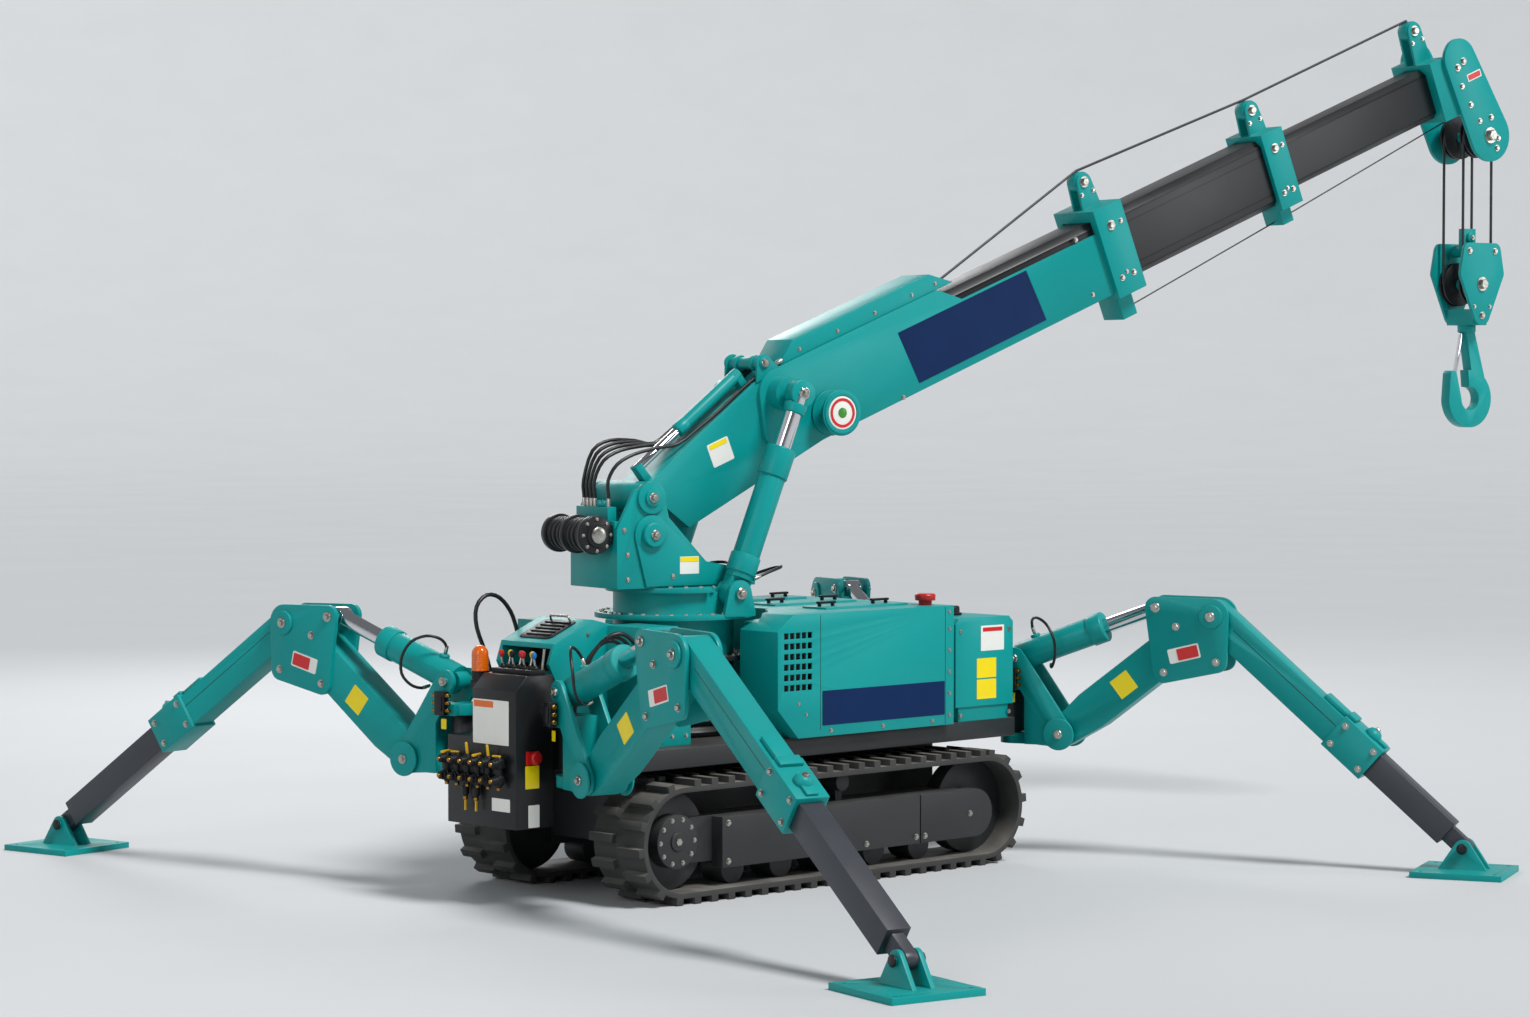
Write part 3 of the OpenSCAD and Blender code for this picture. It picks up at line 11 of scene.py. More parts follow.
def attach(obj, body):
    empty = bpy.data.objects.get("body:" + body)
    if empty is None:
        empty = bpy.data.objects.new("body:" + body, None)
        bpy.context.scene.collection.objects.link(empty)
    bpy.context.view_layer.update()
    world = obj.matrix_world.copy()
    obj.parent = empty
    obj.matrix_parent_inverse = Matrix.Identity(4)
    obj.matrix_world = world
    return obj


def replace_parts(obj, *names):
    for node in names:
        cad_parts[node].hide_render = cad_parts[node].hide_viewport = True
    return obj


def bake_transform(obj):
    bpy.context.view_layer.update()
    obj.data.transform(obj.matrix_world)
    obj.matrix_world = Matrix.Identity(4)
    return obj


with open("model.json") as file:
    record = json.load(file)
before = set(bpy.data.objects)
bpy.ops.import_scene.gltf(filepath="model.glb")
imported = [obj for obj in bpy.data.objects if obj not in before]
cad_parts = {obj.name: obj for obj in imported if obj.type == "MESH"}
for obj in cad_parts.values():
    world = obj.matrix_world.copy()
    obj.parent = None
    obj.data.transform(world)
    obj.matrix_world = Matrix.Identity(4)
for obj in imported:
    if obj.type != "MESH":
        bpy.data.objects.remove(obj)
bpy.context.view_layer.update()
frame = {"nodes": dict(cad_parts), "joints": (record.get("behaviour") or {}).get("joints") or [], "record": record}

MM = 0.001
UP = Vector((0, 0, 1))
LEGS = ("fn", "ff", "rn", "rf")
SIDES = (-1, 1)
joints = {j["name"]: j for j in frame["joints"]}
body_of_node = {n: b for b, nodes in frame["record"]["behaviour"]["bodies"].items() for n in nodes}
slot_of_node = {s["node"]: s["material_slot"] for s in frame["record"]["subparts"]}


# Frames of the sub-assemblies, from the joints

def spot(joint):
    return Vector(joints[joint]["pos_m"])


def axis(joint):
    return Vector(joints[joint]["axis"])


def axes(origin, along, across):
    along = along.normalized()
    across = across.normalized()
    turn = Matrix((along, across, along.cross(across))).transposed().to_4x4()
    return Matrix.Translation(origin) @ turn


across_boom = -axis("boom_luff")
heading = across_boom.cross(UP)
MACHINE = Matrix.Translation(spot("slew"))
TURRET = axes(spot("slew"), heading, across_boom)
BOOM = axes(spot("boom_luff"), axis("boom_middle_slide"), across_boom)
LIFT = axes(spot("lift_barrel_tilt"), axis("lift_rod_slide"), across_boom)
BLOCK = axes(spot("block_sheave_spin"), heading, across_boom)
SWUNG, ARM, JACK, LEG, ANKLE = {}, {}, {}, {}, {}
for k in LEGS:
    outward = spot("arm_lift_" + k) - spot("swing_" + k)
    outward.z = 0
    across_leg = UP.cross(outward)
    SWUNG[k] = axes(spot("swing_" + k), outward, across_leg)
    ARM[k] = axes(spot("arm_lift_" + k), spot("knee_" + k) - spot("arm_lift_" + k), across_leg)
    JACK[k] = axes(spot("jack_tilt_" + k), axis("jack_slide_" + k), across_leg)
    LEG[k] = axes(spot("knee_" + k), axis("leg_extend_" + k), across_leg)
    ANKLE[k] = axes(spot("foot_tilt_" + k), outward, across_leg)


# Camera and light

CAMERA_AT = Vector((-11963, -13268, 2476))
CAMERA_YAW = 43.5
CAMERA_DROP = 2.0
LENS = 84.7
camera = bpy.data.objects.new("camera", bpy.data.cameras.new("camera"))
camera.data.sensor_fit = "HORIZONTAL"
camera.data.sensor_width = 36
camera.data.lens = LENS
camera.data.clip_end = 400
camera.location = MACHINE @ (CAMERA_AT * MM)
camera.rotation_euler = (radians(90 - CAMERA_DROP), 0, radians(-CAMERA_YAW))
bpy.context.scene.collection.objects.link(camera)
bpy.context.scene.camera = camera


def lamp(name, kind, place, aim, power):
    made = bpy.data.objects.new(name, bpy.data.lights.new(name, kind))
    made.data.energy = power
    made.location = place
    made.rotation_euler = (Vector(aim) - Vector(place)).to_track_quat("-Z", "Y").to_euler()
    bpy.context.scene.collection.objects.link(made)
    return made.data


lamp("key_light", "SUN", (1, -8, 10.5), (0, 0, 0), 3.2).angle = radians(16)
lamp("side_light", "AREA", (9, -12, 6), (0, 0, 1.5), 380).size = 6
lamp("front_light", "AREA", (-13, -4, 6), (-1, 0, 1.5), 260).size = 5
lamp("rim_light", "AREA", (5, 11, 8), (0, 0, 2), 500).size = 5
world = bpy.data.worlds.new("studio")
bpy.context.scene.world = world
world.use_nodes = True
world.node_tree.nodes["Background"].inputs["Color"].default_value = (0.9, 0.95, 1.0, 1)
world.node_tree.nodes["Background"].inputs["Strength"].default_value = 0.2
bpy.context.scene.view_settings.view_transform = "Standard"


# Finishes

def linear(code):
    parts = [int(code[i:i + 2], 16) / 255 for i in (1, 3, 5)]
    return (*[c / 12.92 if c <= 0.04045 else ((c + 0.055) / 1.055) ** 2.4 for c in parts], 1)


def add(tree, kind, inputs=None, **settings):
    made = tree.nodes.new(kind)
    for key, value in settings.items():
        setattr(made, key, value)
    for socket, value in (inputs or {}).items():
        if isinstance(value, bpy.types.NodeSocket):
            tree.links.new(value, made.inputs[socket])
        else:
            made.inputs[socket].default_value = value
    return made


def finish(name, colour, worn, rough, patch=300, grain=4, bump=0.06, dust_and_highlight=0.0, **sockets):
    """Surface of one material: colour drifts to worn over patches, roughness and bump follow the grain.

    rough is the least and greatest roughness; patch and grain are millimetres, the grain drawn coarser than
    life so that it shows; dust_and_highlight lightens faces that look up, as settled dust, and on the track
    rubber also as a painted highlight on the lug tops.
    """
    made = bpy.data.materials.new(name)
    made.use_nodes = True
    tree = made.node_tree
    shader = tree.nodes["Principled BSDF"]
    place = add(tree, "ShaderNodeTexCoord").outputs["Object"]
    drift = add(tree, "ShaderNodeTexNoise", {"Vector": place, "Scale": 1 / (patch * MM), "Detail": 4.0})
    fine = add(tree, "ShaderNodeTexNoise", {"Vector": place, "Scale": 1 / (grain * MM), "Detail": 3.0})
    tint = add(tree, "ShaderNodeMix",
        {0: drift.outputs["Fac"], 6: linear(colour), 7: linear(worn)}, data_type="RGBA")
    top = tint.outputs[2]
    # dust on faces that look up; on the track rubber it is also a painted highlight on the lug tops
    if dust_and_highlight:
        facing = add(tree, "ShaderNodeNewGeometry").outputs["Normal"]
        lift = add(tree, "ShaderNodeSeparateXYZ", {0: facing}).outputs["Z"]
        amount = add(tree, "ShaderNodeMapRange", {0: lift, 1: 0.3, 2: 1.0, 3: 0.0, 4: dust_and_highlight})
        speck = add(tree, "ShaderNodeMath",
            {0: amount.outputs[0], 1: drift.outputs["Fac"]}, operation="MULTIPLY")
        grey = linear("#B9B4A8")
        dust_and_highlight_mix = add(tree, "ShaderNodeMix", {0: speck.outputs[0], 6: top, 7: grey}, data_type="RGBA")
        top = dust_and_highlight_mix.outputs[2]
    tree.links.new(top, shader.inputs["Base Color"])
    gloss = add(tree, "ShaderNodeMapRange",
        {0: drift.outputs["Fac"], 1: 0.3, 2: 0.7, 3: rough[0], 4: rough[1]})
    tree.links.new(gloss.outputs[0], shader.inputs["Roughness"])
    relief = add(tree, "ShaderNodeBump",
        {"Strength": bump, "Distance": grain * MM / 4, "Height": fine.outputs["Fac"]})
    tree.links.new(relief.outputs["Normal"], shader.inputs["Normal"])
    for socket, value in sockets.items():
        shader.inputs[socket.replace("_", " ").title().replace("Ior", "IOR")].default_value = value
    return made


def fold_shade_lines(made, heights, width=9, colour="#050506"):
    """Painted shade: dark lines along the boom where its sections fold, at heights above its pivot line."""
    tree = made.node_tree
    shader = tree.nodes["Principled BSDF"]
    place = add(tree, "ShaderNodeTexCoord").outputs["Object"]
    rise = BOOM.to_3x3() @ UP
    height_of = add(tree, "ShaderNodeVectorMath", {0: place, 1: rise}, operation="DOT_PRODUCT")
    level = height_of.outputs["Value"]
    under = shader.inputs["Base Color"].links[0].from_socket
    for height in heights:
        middle = rise.dot(BOOM.translation) + height * MM
        near = add(tree, "ShaderNodeMath", {0: level, 1: middle, 2: width / 2 * MM}, operation="COMPARE")
        lined = add(tree, "ShaderNodeMix",
            {0: near.outputs[0], 6: under, 7: linear(colour)}, data_type="RGBA")
        under = lined.outputs[2]
    tree.links.new(under, shader.inputs["Base Color"])
    return made


# two-pack enamel on steel: wet gloss with a faint orange peel, drawn coarser than life so that it shows
TEAL = finish("teal_enamel", "#009492", "#008A88", (0.34, 0.46), 420, 9, 0.04, 0.04,
    specular_ior_level=0.25)
# satin black enamel on pressed steel: dark grey with soft broad highlights
BLACK = finish("black_enamel", "#141517", "#1C1D20", (0.3, 0.44), 380, 7, 0.06, 0.05,
    specular_ior_level=0.35)
# the same enamel on the boom's black sections, with painted shade as dark lines along their folds
BOOM_FOLDS = (172, 214, -52, -92)
BOOM_BLACK = fold_shade_lines(finish("boom_enamel", "#191A1C", "#222427", (0.3, 0.42), 500, 8, 0.05, 0.05,
    specular_ior_level=0.35), BOOM_FOLDS)
# satin charcoal enamel on the sliding bars of the legs: grey where the light falls flat on it
CHARCOAL = finish("charcoal_enamel", "#2E3138", "#383B43", (0.34, 0.46), 400, 6, 0.05, 0.05)
# textured grey paint of frames and guards: dull, slightly pebbled
FRAME = finish("frame_paint", "#1D1F21", "#292B2E", (0.42, 0.6), 260, 6, 0.14, 0.14)
# moulded rubber of the tracks: matt, dusty on top of the lugs, where the lightening is also a painted highlight
RUBBER = finish("track_rubber", "#262626", "#3C3B3A", (0.6, 0.82), 160, 10, 0.35, 0.4)
# hard chrome on ground rods: mirror with hairline streaks
CHROME = finish("hard_chrome", "#DEDFE1", "#CBCDD0", (0.06, 0.14), 120, 3, 0.02, metallic=1.0)
# zinc plated bolts and pins: bright grey, slightly cloudy
ZINC = finish("zinc_plate", "#C2C0B9", "#A19F98", (0.22, 0.4), 18, 3, 0.1, metallic=1.0)
# cast iron of sheaves, bead blasted and oiled: dark with a soft shine
CAST = finish("cast_iron", "#3C3F42", "#2A2C2E", (0.4, 0.55), 60, 4, 0.2, metallic=0.7)
# moulded bellows and hose covers: black rubber with a low sheen
HOSE = finish("hose_rubber", "#0B0B0C", "#151617", (0.3, 0.44), 90, 4, 0.12)
BELLOWS = finish("bellows_rubber", "#101112", "#1A1B1C", (0.42, 0.6), 140, 6, 0.2, 0.06)
# greased wire rope: dark steel
ROPE = finish("rope_steel", "#2A2B2D", "#45474A", (0.38, 0.55), 14, 3, 0.6, metallic=0.6)
# machined brass of valve ports: warm yellow metal, dulled by handling
BRASS = finish("valve_brass", "#B98A3A", "#8D6A2E", (0.25, 0.42), 20, 3, 0.1, metallic=1.0)
# self-adhesive vinyl of plates and panels: even colour under a clear film
WHITE = finish("white_vinyl", "#E9E9E4", "#DEDED8", (0.28, 0.4), 80, 4, 0.03)
YELLOW = finish("yellow_vinyl", "#F4DC00", "#EACF00", (0.28, 0.4), 80, 4, 0.03)
RED = finish("red_vinyl", "#D3201F", "#BF1B1B", (0.28, 0.4), 80, 4, 0.03)
GREEN = finish("green_vinyl", "#3E8E2B", "#357D25", (0.28, 0.4), 80, 4, 0.03)
ORANGE = finish("orange_vinyl", "#E8731A", "#D96412", (0.28, 0.4), 80, 4, 0.03)
NAVY = finish("navy_vinyl", "#012654", "#011F49", (0.35, 0.48), 200, 5, 0.03, specular_ior_level=0.15)
# moulded nylon of knobs, levers and boxes: even colour with a soft sheen
RED_PLASTIC = finish("red_plastic", "#C01818", "#A51414", (0.25, 0.38), 40, 3, 0.05)
YELLOW_PLASTIC = finish("yellow_plastic", "#E0B60C", "#C99F08", (0.3, 0.42), 40, 3, 0.05)
BLUE_PLASTIC = finish("blue_plastic", "#1F74B8", "#18639E", (0.3, 0.42), 40, 3, 0.05)
BLACK_PLASTIC = finish("black_plastic", "#0E0F10", "#17181A", (0.4, 0.55), 40, 3, 0.1,
    specular_ior_level=0.3)
# clear amber polycarbonate over a dark bulb: warm and glossy, lit through at its rim
AMBER = finish("amber_lens", "#EC7004", "#DD5E02", (0.1, 0.2), 60, 5, 0.05,
    transmission_weight=0.2, coat_weight=0.5)
FINISHES = {"teal_paint": TEAL, "black_paint": BLACK, "frame_paint": FRAME, "track_rubber": RUBBER,
    "chrome_rod": CHROME, "bare_steel": ZINC, "cast_metal": CAST, "amber_lens": AMBER,
    "bellows_rubber": BELLOWS, "rope_steel": ROPE}
OWN_FINISH = {"boom_middle": BOOM_BLACK, "boom_tip": BOOM_BLACK,
    "head_sheaves": CAST, "block_sheaves": CAST}
OWN_FINISH.update({"leg_bar_" + k: CHARCOAL for k in LEGS})


def backdrop():
    """Round pale floor that turns up into a low wall far away, so that no horizon shows."""
    flat, bend, wall, sides = 70, 80, 90, 120
    profile = [(flat + bend * sin(radians(a)), bend - bend * cos(radians(a))) for a in range(0, 91, 6)]
    profile.append((flat + bend, wall))
    points = [(0, 0, 0)]
    faces = []
    for r, z in profile:
        points += [(r * cos(2 * pi * i / sides), r * sin(2 * pi * i / sides), z) for i in range(sides)]
    for i in range(sides):
        j = (i + 1) % sides
        faces.append((0, 1 + i, 1 + j))
        for ring in range(len(profile) - 1):
            at = 1 + ring * sides
            faces.append((at + i, at + i + sides, at + j + sides, at + j))
    mesh = bpy.data.meshes.new("floor")
    mesh.from_pydata(points, [], faces)
    mesh.polygons.foreach_set("use_smooth", [True] * len(faces))
    mesh.materials.append(finish("pale_floor", "#C6C8CA", "#C0C2C4", (0.7, 0.85), 2500, 30, 0.02))
    made = bpy.data.objects.new("floor", mesh)
    bpy.context.scene.collection.objects.link(made)


backdrop()


# Shapes, gathered in one bmesh per piece

SPIN = {"x": Matrix.Rotation(pi / 2, 4, "Y"), "y": Matrix.Rotation(-pi / 2, 4, "X"),
    "z": Matrix.Identity(4)}


def prism(bm, place, outline, y0, y1):
    """Outline in the local X and Z, drawn out from y0 to y1."""
    rings = [[bm.verts.new(place @ (Vector((x, y, z)) * MM)) for x, z in outline] for y in (y0, y1)]
    bm.faces.new(rings[0])
    bm.faces.new(rings[1])
    count = len(outline)
    for i in range(count):
        j = (i + 1) % count
        bm.faces.new((rings[0][i], rings[1][i], rings[1][j], rings[0][j]))


def slab(bm, place, x, y, z):
    """Box between pairs of limits."""
    prism(bm, place, [(x[0], z[0]), (x[1], z[0]), (x[1], z[1]), (x[0], z[1])], y[0], y[1])


def lathe(bm, place, centre, about, profile, sides=32, hollow=False):
    """Turned shape about a local axis; the profile holds pairs of position along it and radius.

    A hollow shape joins its last pair to its first in place of the two end faces.
    """
    stand = place @ Matrix.Translation(Vector(centre) * MM) @ SPIN[about]
    angles = [2 * pi * i / sides for i in range(sides)]
    rings = [[bm.verts.new(stand @ (Vector((r * cos(a), r * sin(a), h)) * MM)) for a in angles]
        for h, r in profile]
    for low, high in zip(rings, rings[1:] + rings[:1] if hollow else rings[1:]):
        for i in range(sides):
            j = (i + 1) % sides
            bm.faces.new((low[i], low[j], high[j], high[i]))
    if not hollow:
        bm.faces.new(rings[0])
        bm.faces.new(rings[-1])


def arc(centre, radius, start, end, steps=10):
    return [(centre[0] + radius * cos(radians(start + (end - start) * i / steps)),
        centre[1] + radius * sin(radians(start + (end - start) * i / steps))) for i in range(steps + 1)]


def rounded_rect(x, z, radius):
    corners = (((x[1] - radius, z[1] - radius), 0), ((x[0] + radius, z[1] - radius), 90),
        ((x[0] + radius, z[0] + radius), 180), ((x[1] - radius, z[0] + radius), 270))
    return [p for centre, start in corners for p in arc(centre, radius, start, start + 90, 5)]


def smooth(points, steps=6):
    """Points on a curve through the given ones."""
    path = []
    ends = [points[0] * 2 - points[1], *points, points[-1] * 2 - points[-2]]
    for a, b, c, d in zip(ends, ends[1:], ends[2:], ends[3:]):
        for i in range(steps):
            t = i / steps
            path.append(0.5 * (2 * b + (c - a) * t + (2 * a - 5 * b + 4 * c - d) * t * t
                + (3 * b - a - 3 * c + d) * t ** 3))
    return [*path, points[-1]]


def tube(bm, path, radius, sides=12):
    """Round bar that follows points of the row frame."""
    side = None
    angles = [2 * pi * i / sides for i in range(sides)]
    rings = []
    for i, p in enumerate(path):
        along = (path[min(i + 1, len(path) - 1)] - path[max(i - 1, 0)]).normalized()
        side = along.orthogonal() if side is None else side - along * side.dot(along)
        side.normalize()
        other = along.cross(side)
        rings.append([bm.verts.new(p + (side * cos(a) + other * sin(a)) * radius * MM) for a in angles])
    for low, high in zip(rings, rings[1:]):
        for i in range(sides):
            j = (i + 1) % sides
            bm.faces.new((low[i], low[j], high[j], high[i]))
    bm.faces.new(rings[0])
    bm.faces.new(rings[-1])


def local(place, points):
    return [place @ (Vector(p) * MM) for p in points]


def soften(obj, width):
    """Rounds the hard edges, so that they catch the light."""
    bevel = obj.modifiers.new("edges", "BEVEL")
    bevel.width = width * MM
    bevel.segments = 2
    bevel.limit_method = "ANGLE"
    bevel.angle_limit = radians(35)
    mesh = bpy.data.meshes.new_from_object(obj.evaluated_get(bpy.context.evaluated_depsgraph_get()))
    obj.modifiers.clear()
    obj.data = mesh


def piece(name, body, material, bm, edge=0.0, turned_out=True, sharp=35):
    if turned_out:
        bmesh.ops.recalc_face_normals(bm, faces=bm.faces[:])
    mesh = bpy.data.meshes.new(name)
    bm.to_mesh(mesh)
    bm.free()
    made = bpy.data.objects.new(name, mesh)
    bpy.context.scene.collection.objects.link(made)
    if edge:
        soften(made, edge)
    made.data.name = name
    made.data.polygons.foreach_set("use_smooth", [True] * len(made.data.polygons))
    made.data.set_sharp_from_angle(angle=radians(sharp))
    made.data.materials.clear()
    made.data.materials.append(material)
    if body:
        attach(made, body)
    return made


# CAD nodes with softened edges

EDGE_OF = {"track_belt_near": 4, "track_belt_far": 4, "head_sheaves": 1.5, "block_sheaves": 1.5,
    "slew_column": 2, "boom_middle": 5, "boom_tip": 5, "foot": 4, "hook_latch": 2, "hose_winch": 4,
    "cable_reel": 3}
LEFT_PLAIN = ("rope_falls", "engine_block", "controls", "lamp")
for node, solid in frame["nodes"].items():
    material = OWN_FINISH.get(node, FINISHES[slot_of_node[node]])
    solid.data.materials.clear()
    solid.data.materials.append(material)
    if node in LEFT_PLAIN:
        continue
    bm = bmesh.new()
    bm.from_mesh(solid.data)
    bmesh.ops.remove_doubles(bm, verts=bm.verts[:], dist=0.01 * MM)
    bmesh.ops.dissolve_limit(bm, angle_limit=radians(0.6), verts=bm.verts[:], edges=bm.edges[:])
    edge = EDGE_OF.get(node, EDGE_OF.get(node.split("_")[0], 3))
    dressed = piece(node + "_dressed", body_of_node[node], material, bm, edge, False)
    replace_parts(dressed, node)


# Hoses, each a rubber hose through given points with crimped ends

FERRULE = ((0, 0.9), (4, 1.25), (34, 1.25), (38, 1.05), (44, 1.05), (46, 0.9))


def end_fitting(bm, tip, along, radius):
    """Crimped sleeve that grips a hose end; along points down the hose."""
    stand = Matrix.Translation(tip) @ along.to_track_quat("Z", "Y").to_matrix().to_4x4()
    lathe(bm, stand, (0, 0, 0), "z", [(h, r * radius) for h, r in FERRULE], 20)


def hose(name, body, points, radius=10.5, other=None):
    """Hose through given points; with another body it runs up to its landing there, its end fitting rides on that
    body and the hose itself is fixed in place.
    """
    path = smooth(points, 3)
    bm = bmesh.new()
    tube(bm, path, radius, 14)
    made = piece(name, None if other else body, HOSE, bm)
    if other:
        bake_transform(made)
    ends = (("start", path[0], path[1], body), ("end", path[-1], path[-2], other or body))
    for at, tip, inner, rider in ends:
        bm = bmesh.new()
        end_fitting(bm, tip, inner - tip, radius)
        piece(name + "_" + at, rider, ZINC, bm)


# Bolts, set as instances on points and realized, one mesh for each body

bolts = {}


def bolt(body, place, point, facing, size=11):
    """Notes a bolt head of that radius at a local point, facing a local direction."""
    turn = place.to_3x3()
    bolts.setdefault(body, []).append((place @ (Vector(point) * MM), turn @ Vector(facing), size * MM))


def bolt_ring(body, place, centre, about, radius, count, size=11, facing=1, start=0.0):
    """Bolts on a circle about a local axis."""
    for i in range(count):
        a = radians(start + 360 * i / count)
        off = SPIN[about].to_3x3() @ Vector((radius * cos(a), radius * sin(a), 0))
        bolt(body, place, Vector(centre) + off, SPIN[about].to_3x3() @ Vector((0, 0, facing)), size)


def bolt_tree():
    """Hexagon head with a chamfer on a round washer, turned and sized by each point's attributes."""
    tree = bpy.data.node_groups.new("bolt_heads", "GeometryNodeTree")
    face = tree.interface
    face.new_socket("Points", in_out="INPUT", socket_type="NodeSocketGeometry")
    face.new_socket("Head Height", in_out="INPUT", socket_type="NodeSocketFloat").default_value = 0.7
    face.new_socket("Washer Width", in_out="INPUT", socket_type="NodeSocketFloat").default_value = 1.35
    face.new_socket("Washer Height", in_out="INPUT", socket_type="NodeSocketFloat").default_value = 0.2
    face.new_socket("Bolts", in_out="OUTPUT", socket_type="NodeSocketGeometry")
    given = add(tree, "NodeGroupInput").outputs
    washer = add(tree, "GeometryNodeMeshCylinder",
        {"Vertices": 18, "Radius": given["Washer Width"], "Depth": given["Washer Height"]})
    head = add(tree, "GeometryNodeMeshCylinder",
        {"Vertices": 6, "Radius": 1.0, "Depth": given["Head Height"]})
    crown = add(tree, "GeometryNodeMeshCone",
        {"Vertices": 6, "Radius Top": 0.8, "Radius Bottom": 1.0, "Depth": 0.15})
    half = add(tree, "ShaderNodeMath", {0: given["Head Height"], 1: 0.5}, operation="MULTIPLY")
    head_at = add(tree, "ShaderNodeCombineXYZ", {"Z": half.outputs[0]})
    crown_at = add(tree, "ShaderNodeCombineXYZ", {"Z": given["Head Height"]})
    raised = add(tree, "GeometryNodeTransform",
        {"Geometry": head.outputs["Mesh"], "Translation": head_at.outputs[0]})
    capped = add(tree, "GeometryNodeTransform",
        {"Geometry": crown.outputs["Mesh"], "Translation": crown_at.outputs[0]})
    joined = add(tree, "GeometryNodeJoinGeometry")
    for part in (washer.outputs["Mesh"], raised.outputs[0], capped.outputs[0]):
        tree.links.new(part, joined.inputs[0])
    facing = add(tree, "GeometryNodeInputNamedAttribute", {"Name": "facing"}, data_type="FLOAT_VECTOR")
    size = add(tree, "GeometryNodeInputNamedAttribute", {"Name": "size"}, data_type="FLOAT")
    turn = add(tree, "FunctionNodeAlignRotationToVector",
        {"Vector": facing.outputs["Attribute"]}, axis="Z")
    set_out = add(tree, "GeometryNodeInstanceOnPoints",
        {"Points": given["Points"], "Instance": joined.outputs[0],
            "Rotation": turn.outputs[0], "Scale": size.outputs["Attribute"]})
    real = add(tree, "GeometryNodeRealizeInstances", {"Geometry": set_out.outputs[0]})
    coated = add(tree, "GeometryNodeSetMaterial", {"Geometry": real.outputs[0], "Material": ZINC})
    add(tree, "NodeGroupOutput", {"Bolts": coated.outputs[0]})
    return tree


def set_bolts():
    tree = bolt_tree()
    sockets = {item.name: item.identifier for item in tree.interface.items_tree}
    for body, heads in bolts.items():
        mesh = bpy.data.meshes.new("bolt_points")
        mesh.from_pydata([h[0] for h in heads], [], [])
        facing = mesh.attributes.new("facing", "FLOAT_VECTOR", "POINT")
        facing.data.foreach_set("vector", [c for h in heads for c in h[1]])
        size = mesh.attributes.new("size", "FLOAT", "POINT")
        size.data.foreach_set("value", [h[2] for h in heads])
        made = bpy.data.objects.new("bolts_" + body, mesh)
        bpy.context.scene.collection.objects.link(made)
        modifier = made.modifiers.new("bolts", "NODES")
        modifier.node_group = tree
        modifier[sockets["Head Height"]] = 0.7
        modifier[sockets["Washer Width"]] = 1.35
        modifier[sockets["Washer Height"]] = 0.2
        solved = made.evaluated_get(bpy.context.evaluated_depsgraph_get())
        made.data = bpy.data.meshes.new_from_object(solved)
        made.modifiers.clear()
        made.data.name = "bolts_" + body
        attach(made, body)


def pin_caps(name, body, place, points, radius=24, length=8):
    """Bright pin ends with a bolt, on both sides; points hold position along, outer face and height."""
    bm = bmesh.new()
    for x, y, z in points:
        for s in SIDES:
            profile = [(0, radius), (length * 0.6, radius), (length, radius * 0.86)]
            lathe(bm, place, (x, s * y, z), "y", [(s * h, r) for h, r in profile], 24)
            bolt(body, place, (x, s * (y + length), z), (0, s, 0), radius * 0.55)
    piece(name, body, ZINC, bm)


# Blank plates

PLATE_T = 1.6


def plates(name, body, material, rows):
    """Thin blank plates; a row holds frame, limits along X and Z, face, side it faces and corner radius."""
    bm = bmesh.new()
    for place, x, z, face, side, radius in rows:
        prism(bm, place, rounded_rect(x, z, radius), face, face + side * PLATE_T)
    return piece(name, body, material, bm)


# Undercarriage and covers

COVER_FACE = 640
COVER_TOP = 1343
HATCH_TOP = 1353
COVER_SEAM = 396
TRACK_FACE = 633
GUARD_FACE = 660
TANK_FACE = 600
STAND_FRONT = -1250
GUARD_BOLTS = ((-240, 180), (-240, 365), (300, 180), (700, 180), (1055, 185), (1118, 185), (1450, 272))
HOUSING_FACE = 480
SPROCKET = (-544, 297)
SEAM_W = 3


def grille_backs():
    bm = bmesh.new()
    back, depth = 606, 16
    for s in SIDES:
        slab(bm, MACHINE, (140, 352), (s * back, s * (back + 4)), (955, 1270))
        for i in range(11):
            z = 966 + 28 * i
            slat = [(144, z), (348, z), (348, z + 6), (144, z + 6)]
            prism(bm, MACHINE, slat, s * (back + 4), s * (back + depth))
    piece("grille_backs", "chassis", BLACK_PLASTIC, bm)


def cover_fittings():
    bm = bmesh.new()
    cap = [(0, 34), (22, 34), (24, 52), (50, 54), (58, 48)]
    lathe(bm, MACHINE, (1262, -520, COVER_TOP), "z", cap, 36)
    piece("red_cap", "chassis", RED_PLASTIC, bm, 2)
    bm = bmesh.new()
    for y in (-370, 0, 370):
        for x in (700, 1080):
            slab(bm, MACHINE, (x - 60, x + 60), (y - 12, y + 12), (HATCH_TOP + 14, HATCH_TOP + 26))
            for end in (-52, 40):
                slab(bm, MACHINE, (x + end, x + end + 12), (y - 10, y + 10), (HATCH_TOP, HATCH_TOP + 14))
    piece("cover_handles", "chassis", BLACK_PLASTIC, bm, 3)
    seams = bmesh.new()
    for s in SIDES:
        for x, z in ((COVER_SEAM, (770, 1335)), (1284, (740, 1335))):
            slab(seams, MACHINE, (x, x + SEAM_W), (s * COVER_FACE, s * (COVER_FACE + 0.6)), z)
        for x, z in ((834, 761), (470, 761), (1190, 761)):
            bolt("chassis", MACHINE, (x, s * COVER_FACE, z), (0, s, 0), 9)
        for z in (785, 895, 1005, 1115, 1224, 1310):
            bolt("chassis", MACHINE, (1316, s * COVER_FACE, z), (0, s, 0), 8)
        for x, z in ((250, 905), (300, 850)):
            bolt("chassis", MACHINE, (x, s * COVER_FACE, z), (0, s, 0), 7)
    piece("cover_seams", "chassis", BLACK, seams)


